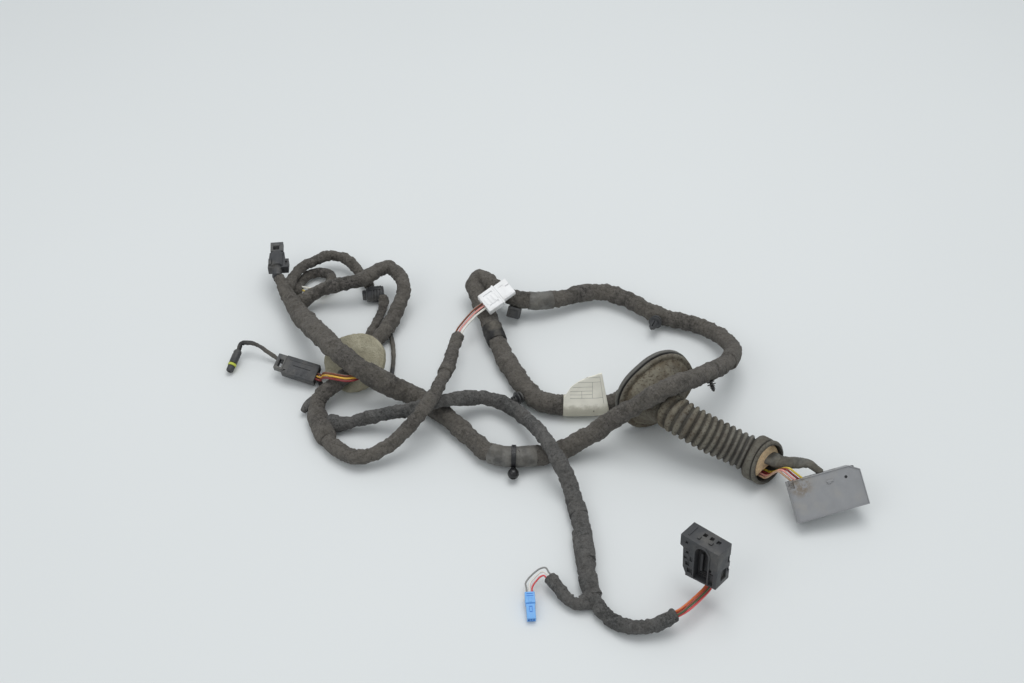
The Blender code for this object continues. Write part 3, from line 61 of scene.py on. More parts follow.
# Centre lines of the strands and wires as the CAD model has them. Each knot is x, y and z in tenths of a
# millimetre and the radius in hundredths.
ROUTES: dict[str, str] = {
    "arm_front": (
        "-1872 -16 83 651, -1801 -29 87 652, -1693 -20 109 655, -1587 -9 137 659, -1480 0 167 664, "
        "-1375 -3 200 671, -1269 -9 234 677, -1163 -15 266 684, -1056 -4 288 691, -954 40 293 698, "
        "-853 84 282 703, -754 126 259 708, -656 169 229 712, -559 208 193 714, -455 231 162 714, "
        "-348 216 143 713, -250 166 138 711, -165 95 145 709, -102 7 165 707, -47 -85 192 705, "
        "3 -178 226 703, 48 -272 264 701, 91 -370 294 700, 131 -472 310 703, 179 -571 301 722, "
        "232 -659 263 749, 280 -732 196 773, 319 -815 134 784, 351 -915 99 787, 375 -1022 85 795, "
        "394 -1131 82 805, 408 -1241 83 817, 415 -1351 84 828, 423 -1462 85 836, 431 -1573 85 840, "
        "439 -1683 83 812, 450 -1793 81 734, 470 -1902 77 671, 507 -2006 70 664, 559 -2104 70 659, "
        "633 -2186 69 651, 726 -2244 78 642, 831 -2275 92 633, 939 -2274 113 624, 1042 -2247 143 618, "
        "1140 -2210 180 616"
    ),
    "arm_left": (
        "-2330 1582 135 673, -2236 1646 168 691, -2138 1681 204 714, -2034 1695 238 735, -1927 1706 266 748, "
        "-1820 1718 288 749, -1713 1742 305 749, -1622 1800 316 750, -1540 1874 319 751, -1441 1905 307 751, "
        "-1358 1836 286 753, -1310 1741 260 754, -1298 1636 228 755, -1318 1533 198 756, -1353 1432 168 758, "
        "-1393 1333 138 759, -1440 1236 116 761, -1498 1143 101 762, -1559 1052 95 763, -1608 953 102 765, "
        "-1651 852 116 766, -1691 751 137 767, -1728 651 162 768, -1768 550 184 769, -1809 449 199 769, "
        "-1881 368 193 770, -1972 316 159 770, -2040 248 111 770, -2047 142 86 770, -2016 36 80 770, "
        "-1977 -68 80 770, -1931 -168 80 770, -1875 -263 80 770, -1800 -343 87 766, -1715 -413 100 744, "
        "-1617 -459 115 713, -1509 -458 133 687, -1408 -422 161 679, -1316 -380 203 678, -1230 -337 259 677, "
        "-1151 -289 319 675, -1080 -230 378 673, -1014 -156 427 670, -958 -64 448 668, -913 37 443 664, "
        "-878 141 429 661, -852 245 405 658, -830 351 380 655, -809 456 354 652, -791 561 327 649, "
        "-775 668 302 647, -762 775 279 645, -748 882 258 644, -730 990 240 644"
    ),
    "branch_curl": (
        "-2418 1822 83 550, -2409 1876 74 550, -2392 1933 71 550, -2367 1988 70 550, -2331 2036 69 550, "
        "-2284 2074 69 550, -2226 2089 73 550, -2167 2082 79 550, -2116 2052 90 550, -2078 2007 101 550, "
        "-2060 1950 108 550, -2069 1892 111 550, -2100 1840 110 550"
    ),
    "branch_link": (
        "-1510 1665 80 450, -1512 1569 69 450, -1534 1475 59 450, -1560 1382 55 450, -1587 1289 56 450, "
        "-1599 1195 63 450"
    ),
    "branch_upper": (
        "-2481 1774 189 550, -2465 1839 184 550, -2441 1917 184 550, -2409 1992 185 550, -2366 2061 185 550, "
        "-2307 2116 185 550, -2238 2160 185 550, -2168 2201 190 550, -2093 2233 185 550, -2013 2238 172 550, "
        "-1938 2213 158 550, -1877 2159 147 550, -1823 2101 129 550, -1774 2041 105 550, -1726 1977 88 550, "
        "-1680 1910 80 550"
    ),
    "bundle_door": (
        "2123 -574 249 450, 2154 -600 253 450, 2184 -625 256 450, 2213 -649 271 450, 2239 -670 292 450, "
        "2265 -690 315 450, 2290 -710 339 450, 2316 -730 362 450, 2342 -750 385 449, 2369 -770 407 432, "
        "2398 -791 425 398, 2430 -812 431 360, 2460 -828 411 328, 2491 -846 394 315"
    ),
    "lead_link": (
        "-1403 1159 45 230, -1386 1083 30 230, -1375 1009 29 230, -1368 935 30 230, -1365 861 29 230, "
        "-1365 787 31 230, -1367 712 33 230, -1372 639 45 230, -1381 569 66 230, -1394 504 101 230, "
        "-1412 451 149 230, -1425 414 186 230"
    ),
    "lead_probe": (
        "-2880 910 120 230, -2857 979 144 230, -2759 978 149 230, -2686 954 136 230, -2621 921 109 230, "
        "-2557 887 80 230, -2493 851 53 230, -2427 815 35 230, -2358 779 27 230, -2288 744 26 230, "
        "-2219 710 26 230, -2150 674 26 230, -2090 623 27 230, -2051 557 28 230, -2040 480 30 230, "
        "-2053 404 34 230, -2060 322 62 230"
    ),
    "stub_front": (
        "427 -1994 76 550, 364 -2020 70 550, 297 -2001 69 550, 246 -1955 77 550, 206 -1898 88 550, "
        "163 -1844 99 550, 120 -1790 110 550"
    ),
    "trunk": (
        "1128 170 361 721, 1063 311 321 732, 1003 431 260 754, 908 330 192 773, 796 227 149 796, "
        "645 181 125 899, 486 175 120 931, 326 181 115 963, 167 198 115 980, 31 279 107 980, -66 405 101 977, "
        "-139 548 100 974, -209 692 104 971, -275 838 112 967, -333 986 123 964, -380 1139 135 963, "
        "-427 1291 153 962, -482 1439 176 949, -536 1588 203 925, -589 1736 232 899, -506 1811 261 882, "
        "-395 1697 249 879, -275 1592 236 878, -128 1535 218 877, 31 1532 197 876, 185 1569 177 875, "
        "335 1621 163 873, 484 1680 154 871, 639 1719 145 870, 797 1710 138 868, 938 1636 133 866, "
        "1072 1548 127 864, 1199 1451 122 863, 1342 1381 115 862, 1493 1329 110 861, 1641 1266 114 860, "
        "1769 1173 131 860, 1866 1050 163 862, 1919 907 212 864, 1928 758 267 868, 1895 613 324 871, "
        "1830 480 385 875, 1746 359 447 879, 1648 250 512 883, 1549 141 575 886, 1444 35 633 887, "
        "1328 -61 688 888, 1193 -143 692 891, 1054 -190 634 898, 926 -200 537 907, 799 -213 440 915, "
        "676 -243 344 922, 549 -282 253 925, 414 -322 177 925, 272 -373 125 925, 120 -420 114 925, "
        "-36 -453 126 925, -195 -468 132 925, -350 -438 127 925, -478 -344 116 925, -580 -220 105 925, "
        "-682 -97 104 937, -787 24 104 966, -899 138 105 1001, -1025 236 115 1028, -1169 293 152 1036, "
        "-1312 321 218 1036, -1448 340 299 1036, -1585 381 371 1036, -1715 463 411 1036, -1825 578 414 1036, "
        "-1928 700 402 1036, -2023 827 379 1036, -2111 957 345 1036, -2185 1089 295 1036, "
        "-2255 1223 241 1036, -2328 1360 204 980, -2403 1501 189 875, -2487 1633 216 814, -2555 1765 275 555"
    ),
    "wire_blue_grey": (
        "138 -1771 110 75, 110 -1735 118 75, 86 -1697 126 75, 42 -1702 122 75, 3 -1726 113 75, "
        "-32 -1756 103 75, -63 -1789 93 75, -85 -1828 84 75, -79 -1873 79 75, -76 -1920 73 75"
    ),
    "wire_blue_red": (
        "98 -1804 110 75, 72 -1772 117 75, 39 -1780 111 75, 10 -1808 99 75, -15 -1839 88 75, -31 -1875 79 75, "
        "-28 -1917 74 75"
    ),
    "wire_blue_white": (
        "118 -1788 110 75, 89 -1751 118 75, 54 -1733 120 75, 15 -1759 109 75, -19 -1791 98 75, "
        "-48 -1827 87 75, -55 -1871 79 75, -52 -1918 74 75"
    ),
    "wire_curl_white": (
        "-2114 1845 110 100, -2139 1803 109 100, -2207 1828 92 100, -2262 1837 88 100, -2317 1847 88 100, "
        "-2353 1856 89 100"
    ),
    "wire_curl_yellow": (
        "-2089 1830 110 100, -2117 1782 109 100, -2187 1790 77 100, -2247 1791 69 100, -2307 1798 76 100, "
        "-2360 1809 88 100"
    ),
    "wire_door_brown": (
        "1971 -636 120 100, 2018 -676 127 100, 2064 -714 134 100, 2086 -746 182 100, 2099 -772 236 100, "
        "2110 -798 292 100, 2123 -824 346 100, 2149 -857 390 100, 2196 -883 366 100, 2244 -910 340 100"
    ),
    "wire_door_pink": (
        "1991 -613 120 100, 2034 -650 126 100, 2077 -685 130 100, 2103 -718 169 100, 2117 -745 217 100, "
        "2129 -770 267 100, 2141 -795 317 100, 2157 -822 365 100, 2187 -855 397 100, 2230 -878 369 100, "
        "2275 -903 345 100"
    ),
    "wire_door_red": (
        "2010 -590 120 100, 2055 -628 126 100, 2099 -664 131 100, 2125 -698 171 100, 2141 -727 219 100, "
        "2154 -755 270 100, 2168 -783 320 100, 2185 -812 368 100, 2216 -846 401 100, 2260 -870 375 100, "
        "2306 -896 350 100"
    ),
    "wire_door_yellow": (
        "2029 -567 120 100, 2075 -606 127 100, 2120 -643 133 100, 2146 -679 173 100, 2164 -710 222 100, "
        "2179 -740 272 100, 2195 -770 322 100, 2213 -801 371 100, 2244 -838 406 100, 2289 -863 381 100, "
        "2337 -889 355 100"
    ),
    "wire_flat_orange": (
        "-2072 589 120 100, -2020 573 115 100, -2009 527 187 100, -1989 492 234 100, -1962 453 275 100, "
        "-1931 413 312 100, -1888 378 340 100, -1831 355 350 100, -1770 342 350 100, -1724 347 346 100"
    ),
    "wire_flat_red": (
        "-2090 537 103 100, -2040 521 98 100, -2022 482 161 100, -2000 451 205 100, -1974 417 245 100, "
        "-1947 381 281 100, -1915 344 313 100, -1869 315 333 100, -1815 296 339 100, -1757 287 337 100, "
        "-1701 298 331 100, -1671 320 320 100"
    ),
    "wire_flat_yellow": (
        "-2081 563 112 100, -2032 548 107 100, -2017 508 170 100, -1997 476 214 100, -1973 442 254 100, "
        "-1946 405 290 100, -1914 369 321 100, -1867 341 340 100, -1813 322 345 100, -1756 314 343 100, "
        "-1694 330 335 100"
    ),
    "wire_motor_green": (
        "1143 -2226 196 100, 1197 -2205 216 100, 1243 -2166 218 100, 1287 -2124 214 100, 1330 -2081 211 100, "
        "1372 -2037 208 100, 1414 -1992 208 100, 1452 -1948 222 100, 1452 -1935 279 100"
    ),
    "wire_motor_orange": (
        "1132 -2196 196 100, 1184 -2176 215 100, 1229 -2139 217 100, 1271 -2098 213 100, 1312 -2056 209 100, "
        "1352 -2013 205 100, 1392 -1970 204 100, 1427 -1928 219 100, 1427 -1915 275 100"
    ),
    "wire_motor_red_a": (
        "1142 -2192 166 100, 1194 -2172 185 100, 1242 -2146 197 100, 1284 -2105 193 100, 1323 -2063 184 100, "
        "1361 -2019 176 100, 1399 -1974 170 100, 1435 -1928 172 100, 1447 -1904 212 100, 1447 -1891 270 100"
    ),
    "wire_motor_red_b": (
        "1153 -2222 166 100, 1207 -2202 186 100, 1256 -2174 198 100, 1300 -2132 193 100, 1341 -2088 186 100, "
        "1380 -2043 178 100, 1419 -1998 173 100, 1457 -1951 175 100, 1472 -1924 215 100, 1472 -1911 274 100"
    ),
    "wire_plug_brown": (
        "-759 998 240 100, -749 1055 230 100, -732 1108 229 100, -699 1154 244 100, -664 1197 263 100, "
        "-627 1238 283 100, -589 1277 303 100, -545 1311 320 100, -498 1342 337 100"
    ),
    "wire_plug_pink": (
        "-730 993 240 100, -719 1055 229 100, -697 1112 231 100, -660 1160 249 100, -620 1205 269 100, "
        "-578 1248 290 100, -531 1286 309 100, -480 1320 328 100"
    ),
    "wire_plug_white": (
        "-700 988 240 100, -690 1047 230 100, -670 1101 229 100, -635 1148 245 100, -596 1190 264 100, "
        "-556 1231 283 100, -510 1266 301 100, -462 1297 319 100"
    ),
}


def route(node: str) -> list[tuple[float, float, float, float]]:
    """The knots of a node's centre line: x, y, z and radius in millimetres."""
    rows = (map(int, row.split()) for row in ROUTES[node].split(","))
    return [(x / 10, y / 10, z / 10, r / 100) for x, y, z, r in rows]


Tint = tuple[int, int, int]


class Nodes:
    """Short calls for building one node tree on Object coordinates, which are the harness's own metres."""

    def __init__(self, tree: Tree) -> None:
        """Start on the tree that new nodes go into."""
        self.tree = tree
        self.where = self.add("ShaderNodeTexCoord").outputs["Object"]

    def feed(self, socket: Socket, value: object) -> None:
        """Link another node's output into a socket, or set the socket's own value."""
        if isinstance(value, Socket):
            self.tree.links.new(value, socket)
        else:
            socket.default_value = value

    def add(self, kind: str, inputs: dict | None = None, **props: object) -> Node:
        """Add a node.

        Args:
            kind: The node's type name.
            inputs: Values or outputs for its input sockets, by name or index.
            props: Properties of the node.

        Returns:
            The new node.
        """
        node = self.tree.nodes.new(kind)
        for key, value in props.items():
            setattr(node, key, value)
        for key, value in (inputs or {}).items():
            self.feed(node.inputs[key], value)
        return node

    def math(self, operation: str, a: object, b: object = 0.0, clamp: bool = False) -> Socket:
        """A Math node's result."""
        return self.add("ShaderNodeMath", {0: a, 1: b}, operation=operation, use_clamp=clamp).outputs[0]

    def plus(self, a: object, b: object) -> Socket:
        """The sum of two values."""
        return self.math("ADD", a, b)

    def times(self, a: object, b: object, clamp: bool = False) -> Socket:
        """The product of two values."""
        return self.math("MULTIPLY", a, b, clamp)

    def mix(self, factor: object, a: object, b: object) -> Socket:
        """Two colours mixed by a factor."""
        return self.add("ShaderNodeMix", {0: factor, 6: a, 7: b}, data_type="RGBA").outputs[2]

    def wash(self, base: object, mask: object, share: float, color: object) -> Socket:
        """A colour laid over a base by a share of a mask."""
        return self.mix(self.times(mask, share), base, color)

    def span(self, value: object, low: float, high: float, to_low: float = 0.0, to_high: float = 1.0) -> Socket:
        """A value mapped smoothly from one range to another."""
        inputs = {0: value, 1: low, 2: high, 3: to_low, 4: to_high}
        return self.add("ShaderNodeMapRange", inputs, interpolation_type="SMOOTHSTEP").outputs[0]

    def noise(self, scale: object, detail: float = 3.0, rough: float = 0.55, at: object = None) -> Socket:
        """A noise texture's value, at the surface's own place unless another is given."""
        inputs = {"Vector": self.where if at is None else at, "Scale": scale, "Detail": detail, "Roughness": rough}
        return self.add("ShaderNodeTexNoise", inputs).outputs[0]

    def vector(self, operation: str, inputs: dict) -> Node:
        """A Vector Math node."""
        return self.add("ShaderNodeVectorMath", inputs, operation=operation)

    def uv(self) -> tuple[Socket, Socket]:
        """The two values of the piece's own UV map."""
        split = self.add("ShaderNodeSeparateXYZ", {0: self.add("ShaderNodeUVMap", uv_map="UVMap").outputs[0]})
        return split.outputs[0], split.outputs[1]

    def coat(
        self, shader: Node, color: object, rough: object, height: Socket, distance: float,
        strength: float = 1.0, specular: float = 0.5,
    ) -> None:
        """Feed a shader.

        Args:
            shader: The Principled BSDF.
            color: Its colour.
            rough: Its roughness.
            height: Its relief, from 0 to 1.
            distance: What the relief's full range stands for, in metres.
            strength: How strongly the relief shows.
            specular: How strongly it shines.
        """
        relief = self.add("ShaderNodeBump", {"Height": height, "Distance": distance, "Strength": strength})
        self.feed(shader.inputs["Base Color"], color)
        self.feed(shader.inputs["Roughness"], rough)
        self.feed(shader.inputs["Normal"], relief.outputs[0])
        shader.inputs["Specular IOR Level"].default_value = specular


class Effect(Enum):
    """Shader node groups that several finishes share."""

    SOIL = "soil"
    FELT = "felt"
    GRAIN = "grain"
    WORN = "worn"


class Effects:
    """Builds each shared node group once and places it in a material."""

    def __init__(self) -> None:
        """Start with no group built."""
        self.built: dict[Effect, Tree] = {}

    def group(self, effect: Effect) -> Tree:
        """The node group of an effect, built at its first use."""
        if effect not in self.built:
            self.built[effect] = bpy.data.node_groups.new(effect.value, "ShaderNodeTree")
            getattr(self, effect.value)(self.built[effect])
        return self.built[effect]

    @staticmethod
    def sockets(tree: Tree, inputs: dict[str, float], outputs: Sequence[str]) -> list[Node]:
        """Give a group its named value sockets.

        Args:
            tree: The group.
            inputs: Each input's name and its usual value.
            outputs: The outputs' names.

        Returns:
            The group's input node and output node.
        """
        for name, value in inputs.items():
            socket = tree.interface.new_socket(name, in_out="INPUT", socket_type="NodeSocketFloat")
            socket.default_value = value
        for name in outputs:
            tree.interface.new_socket(name, in_out="OUTPUT", socket_type="NodeSocketFloat")
        return [tree.nodes.new("NodeGroupInput"), tree.nodes.new("NodeGroupOutput")]

    def soil(self, tree: Tree) -> None:
        """Dry dust in soft patches with fine speckle, as a mask."""
        given, out = self.sockets(tree, {"Scale": 30.0, "Cover": 0.5, "Speckle": 0.5}, ["Mask"])
        n = Nodes(tree)
        broad = n.noise(given.outputs["Scale"], 4.0, 0.5)
        edge = n.math("SUBTRACT", 0.92, given.outputs["Cover"])
        patches = n.times(n.math("SUBTRACT", broad, n.times(edge, 0.62)), 4.2, True)
        share = given.outputs["Speckle"]
        specks = n.times(n.span(n.noise(620.0, 3.0, 0.7), 0.38, 0.66), share)
        n.feed(out.inputs["Mask"], n.times(patches, n.plus(specks, n.math("SUBTRACT", 1.0, share)), True))

    def felt(self, tree: Tree) -> None:
        """Matted fibres of fleece tape, as a height and a shade."""
        given, out = self.sockets(tree, {"Scale": 900.0}, ["Height", "Shade"])
        n = Nodes(tree)
        twist = n.add("ShaderNodeTexNoise", {"Vector": n.where, "Scale": 240.0, "Detail": 2.0}).outputs["Color"]
        bent = n.vector("ADD", {0: n.where, 1: n.vector("SCALE", {0: twist, 3: 0.004}).outputs[0]}).outputs[0]
        fibres = n.noise(given.outputs["Scale"], 5.0, 0.7, bent)
        tufts = n.noise(420.0, 2.0, 0.5)
        n.feed(out.inputs["Height"], n.plus(n.times(fibres, 0.65), n.times(tufts, 0.35)))
        n.feed(out.inputs["Shade"], n.span(fibres, 0.32, 0.68))

    def grain(self, tree: Tree) -> None:
        """Fine spark-eroded grain of moulded plastic, as a height."""
        given, out = self.sockets(tree, {"Scale": 1600.0}, ["Height"])
        n = Nodes(tree)
        cells = n.add("ShaderNodeTexVoronoi", {"Vector": n.where, "Scale": given.outputs["Scale"]})
        height = n.plus(n.times(cells.outputs["Distance"], 0.7), n.times(n.noise(300.0, 2.0), 0.3))
        n.feed(out.inputs["Height"], height)

    def worn(self, tree: Tree) -> None:
        """Thin scuffs and scratches in several directions, as a mask."""
        given, out = self.sockets(tree, {"Amount": 0.5}, ["Mask"])
        n = Nodes(tree)
        total: object = 0.0
        for angle, scale in ((0.35, 130.0), (1.9, 170.0), (2.7, 110.0)):
            inputs = {"Vector": n.where, "Rotation": (0.2, 0.3, angle), "Scale": (1.0, 14.0, 5.0)}
            lines = n.noise(scale, 2.0, 0.4, n.add("ShaderNodeMapping", inputs).outputs[0])
            total = n.math("MAXIMUM", total, n.span(lines, 0.70, 0.76))
        zones = n.span(n.noise(60.0, 2.0), 0.45, 0.62)
        n.feed(out.inputs["Mask"], n.times(n.times(total, zones), given.outputs["Amount"], True))


EFFECTS = Effects()


def rgba(color: Sequence[float], gain: float = 1.0) -> tuple[float, float, float, float]:
    """A linear colour with full alpha, from sRGB values of 0 to 255, made lighter or darker by a gain."""
    out = []
    for value in color:
        c = value / 255.0
        c = c / 12.92 if c <= 0.04045 else ((c + 0.055) / 1.055) ** 2.4
        out.append(min(1.0, c * gain))
    return out[0], out[1], out[2], 1.0


@dataclass(frozen=True)
class Finish:
    """A finish: its name, a slot name that is not used, and its colour in sRGB."""

    name: str
    slot: str
    color: Tint

    def effect(self, n: Nodes, effect: Effect, **values: float) -> Node:
        """A shared effect placed in this finish's material with its own values."""
        node = n.add("ShaderNodeGroup", node_tree=EFFECTS.group(effect))
        for key, value in values.items():
            node.inputs[key.title()].default_value = value
        return node

    def tone(self, gain: float) -> tuple[float, float, float, float]:
        """The finish's own colour, lighter or darker."""
        return rgba(self.color, gain)

    def material(self) -> bpy.types.Material:
        """The finish as a material, made once."""
        found = bpy.data.materials.get(self.name)
        if found is not None and found.get("dressed"):
            return found
        mat = bpy.data.materials.new(self.name)
        mat["dressed"] = True
        mat.use_nodes = True
        self.dress(Nodes(mat.node_tree), mat.node_tree.nodes["Principled BSDF"])
        mat.diffuse_color = rgba(self.color)
        return mat

    def dress(self, n: Nodes, shader: Node) -> None:
        """Fill in the shader's colour, roughness and relief."""
        raise NotImplementedError


@dataclass(frozen=True)
class Dusted(Finish):
    """A finish that dust lies on, with the dust's colour and how much of it there is."""

    dust: Tint = (118, 108, 92)
    cover: float = 0.45

    def soil(self, n: Nodes, scale: float, speckle: float) -> Socket:
        """Where the dust lies."""
        return self.effect(n, Effect.SOIL, scale=scale, cover=self.cover, speckle=speckle).outputs["Mask"]

    def worn(self, n: Nodes, amount: float) -> Socket:
        """Where the surface is scratched."""
        return self.effect(n, Effect.WORN, amount=amount).outputs["Mask"]


@dataclass(frozen=True)
class ClothTape(Dusted):
    """Fleece tape wound round a strand: felt with lapped edges, greyed by dust."""

    # How strongly the painted shade shows at each lap's edge.
    lap: float = 0.96

    def dress(self, n: Nodes, shader: Node) -> None:
        """Felt shade, dark lines of painted shade at each lap's edge and dust on the colour; felt relief in the
        normal.
        """
        felt = self.effect(n, Effect.FELT, scale=950.0)
        base = n.mix(n.span(n.noise(26.0), 0.35, 0.65), self.tone(0.80), self.tone(1.28))
        base = n.wash(base, felt.outputs["Shade"], 0.45, self.tone(1.9))
        base = n.wash(base, n.span(n.noise(390.0, 3.0, 0.7), 0.40, 0.62), 0.62, self.tone(2.9))
        base = n.wash(base, n.span(n.noise(470.0, 2.0, 0.6), 0.44, 0.34), 0.8, self.tone(0.22))
        base = n.mix(n.span(n.noise(120.0, 3.0, 0.6), 0.50, 0.64, 0.0, 0.7), base, self.tone(0.40))
        wound = n.plus(*n.uv())
        turn = n.math("FLOOR", wound)
        shade = n.add("ShaderNodeTexWhiteNoise", {"W": turn}, noise_dimensions="1D").outputs[0]
        base = n.wash(base, shade, 0.30, self.tone(0.55))
        # Each lap's edge gets a dark line: painted shade where the lap above steps down onto the next.
        edge = n.span(n.math("FRACT", wound), 0.90, 1.0)
        base = n.mix(n.times(edge, n.times(n.noise(120.0, 2.0), self.lap)), base, self.tone(0.30))
        base = n.wash(base, self.soil(n, 34.0, 0.55), 0.62, rgba(self.dust))
        relief = n.plus(felt.outputs["Height"], n.noise(260.0, 3.0, 0.6))
        n.coat(shader, base, 0.96, relief, 0.0022, 1.0, 0.12)
        shader.inputs["Sheen Weight"].default_value = 0.10
        shader.inputs["Sheen Roughness"].default_value = 0.6


@dataclass(frozen=True)
class SmoothTape(Dusted):
    """Smooth vinyl tape or sheath with a soft gloss, scuffed."""

    roughness: float = 0.42
    dust: Tint = (140, 134, 122)
    cover: float = 0.35

    def dress(self, n: Nodes, shader: Node) -> None:
        """Broad colour changes, dust and scuffs; slack wrinkles in the normal."""
        soil = self.soil(n, 48.0, 0.4)
        base = n.mix(n.span(n.noise(90.0, 4.0, 0.65), 0.36, 0.64), self.tone(0.55), self.tone(1.5))
        base = n.wash(base, soil, 0.6, rgba(self.dust))
        base = n.wash(base, self.worn(n, 0.5), 0.5, rgba(self.dust, 1.2))
        rough = n.span(soil, 0.0, 1.0, self.roughness, 0.9)
        n.coat(shader, base, rough, n.noise(210.0, 4.0, 0.5), 0.0016, 0.9)


@dataclass(frozen=True)
class Rubber(Dusted):
    """Aged rubber: dust where the mesh's "dusty" mask lets it lie, painted shade with dark dirt in its "hollow"
    places.
    """

    stain: Tint = (104, 93, 74)
    speck: Tint = (62, 50, 38)
    # The colour of the painted shade, mixed with dark dirt, in the hollows.
    depth: Tint = (30, 28, 26)

    def dress(self, n: Nodes, shader: Node) -> None:
        """Dust by patches and by the mesh's own masks, smears, light scuffs that are partly painted glints, painted
        shade with dark dirt in the hollows, and fine relief.
        """
        hollow, dusty = (
            n.add("ShaderNodeAttribute", attribute_name=name).outputs["Fac"] for name in ("hollow", "dusty")
        )
        base = n.mix(n.noise(50.0), self.tone(0.8), self.tone(1.25))
        amount = n.times(dusty, n.plus(n.times(self.soil(n, 42.0, 0.35), 0.85), 0.25), True)
        tint = n.mix(n.span(n.noise(62.0, 4.0, 0.65), 0.36, 0.64), rgba(self.stain), rgba(self.dust, 1.05))
        base = n.mix(amount, base, tint)
        specks = n.times(n.span(n.noise(420.0, 3.0, 0.7), 0.52, 0.62), n.plus(dusty, 0.3), True)
        base = n.wash(base, specks, 0.7, rgba(self.speck))
        # Light scuffs, which also serve as painted glints on the rubber.
        base = n.wash(base, self.worn(n, 0.6), 0.35, rgba(self.dust, 1.5))
        # The hollows get painted shade mixed with dark dirt.
        base = n.wash(base, hollow, 0.78, rgba(self.depth))
        relief = n.plus(n.noise(420.0, 4.0, 0.6), n.times(n.noise(110.0, 2.0), 0.8))
        n.coat(shader, base, n.span(amount, 0.0, 0.6, 0.42, 0.92), relief, 0.0007, 0.8)


@dataclass(frozen=True)
class Foam(Dusted):
    """Open-cell foam, weathered and stained."""

    dust: Tint = (112, 104, 84)

    def dress(self, n: Nodes, shader: Node) -> None:
        """Cells in the colour and the normal, stains by patches."""
        cells = n.add("ShaderNodeTexVoronoi", {"Vector": n.where, "Scale": 1100.0}).outputs["Distance"]
        base = n.mix(n.span(cells, 0.1, 0.6), self.tone(0.72), self.tone(1.08))
        base = n.mix(n.span(n.noise(85.0, 4.0), 0.4, 0.7, 0.0, 0.45), base, self.tone(0.6))
        base = n.wash(base, self.soil(n, 55.0, 0.3), 0.6, rgba(self.dust))
        n.coat(shader, base, 0.97, n.plus(cells, n.noise(260.0)), 0.0010, 0.8, 0.15)


@dataclass(frozen=True)
class Plastic(Dusted):
    """Moulded plastic with a fine grain, handled and dusty, with a place and a reach of caked dirt or none."""

    roughness: float = 0.5
    dust: Tint = (150, 142, 126)
    cover: float = 0.3
    relief: float = 0.00018
    grime: tuple[float, float, float, float] | None = None
    grime_tint: Tint = (122, 108, 90)

    def dress(self, n: Nodes, shader: Node) -> None:
        """Grain in the normal, a film of dust and light scratches on the colour."""
        grain = self.effect(n, Effect.GRAIN, scale=1500.0).outputs["Height"]
        base = n.mix(n.noise(120.0), self.tone(0.88), self.tone(1.14))
        base = n.wash(base, self.soil(n, 60.0, 0.5), 0.5, rgba(self.dust))
        if self.grime is not None:
            *middle, reach = self.grime
            gap = n.vector("DISTANCE", {0: n.where, 1: middle}).outputs["Value"]
            caked = n.span(n.noise(170.0, 4.0, 0.7), 0.36, 0.56)
            spot = n.times(n.span(gap, reach, reach * 0.35), caked)
            base = n.wash(base, spot, 0.8, rgba(self.grime_tint))
        base = n.wash(base, self.worn(n, 0.55), 0.4, rgba(self.dust, 1.1))
        rough = n.span(n.noise(200.0, 2.0), 0.2, 0.8, self.roughness - 0.08, self.roughness + 0.14)
        n.coat(shader, base, rough, grain, self.relief, 0.7)


@dataclass(frozen=True)
class Insulation(Finish):
    """Extruded wire insulation, with a thin stripe of a second colour where the wire has one."""

    stripe: Tint | None = None
    dirt: Tint = (120, 108, 92)

    def dress(self, n: Nodes, shader: Node) -> None:
        """The colour along the wire with its stripe from the UV map, soiled a little."""
        base = n.mix(n.noise(140.0, 2.0), self.tone(0.85), self.tone(1.12))
        if self.stripe is not None:
            around, _ = n.uv()
            inside = n.times(n.span(around, 0.30, 0.33), n.span(around, 0.62, 0.59))
            base = n.mix(inside, base, rgba(self.stripe))
        base = n.mix(n.span(n.noise(330.0), 0.55, 0.75, 0.0, 0.35), base, rgba(self.dirt))
        n.coat(shader, base, 0.38, n.noise(500.0, 2.0), 0.00012, 0.6)


@dataclass(frozen=True)
class Paper(Finish):
    """Uncoated paper ruled into plain boxes and lines, soiled towards its lower edge.

    A rule is its place, where it starts and where it ends, as shares of the sheet.
    """

    ink: Tint = (104, 100, 92)
    stain: Tint = (120, 114, 88)
    rows: tuple[tuple[float, float, float], ...] = (
        (0.30, 0.16, 0.92), (0.40, 0.16, 0.66), (0.50, 0.16, 0.66), (0.62, 0.22, 0.66), (0.76, 0.34, 0.92),
        (0.90, 0.52, 0.92),
    )
    columns: tuple[tuple[float, float, float], ...] = (
        (0.16, 0.12, 0.50), (0.66, 0.30, 0.76), (0.42, 0.30, 0.50), (0.92, 0.12, 0.90),
    )

    def dress(self, n: Nodes, shader: Node) -> None:
        """Rules from the UV map, stains from the height up the sheet."""
        x, y = n.uv()
        ink: object = 0.0
        for rules, across, along, half in ((self.rows, y, x, 0.008), (self.columns, x, y, 0.006)):
            for at, low, high in rules:
                line = n.span(n.math("ABSOLUTE", n.math("SUBTRACT", across, at)), half, half * 0.5)
                inside = n.times(n.math("GREATER_THAN", along, low), n.math("LESS_THAN", along, high))
                ink = n.math("MAXIMUM", ink, n.times(line, inside))
        base = n.mix(n.span(n.noise(90.0, 4.0), 0.35, 0.7), rgba(self.color), self.tone(0.93))
        base = n.wash(base, ink, 0.62, rgba(self.ink))
        low_edge = n.span(n.plus(y, n.times(n.noise(260.0, 4.0), 0.22)), 0.26, 0.08)
        base = n.wash(base, low_edge, 0.5, rgba(self.stain))
        n.coat(shader, base, 0.86, n.noise(700.0), 0.00015, 0.5, 0.25)


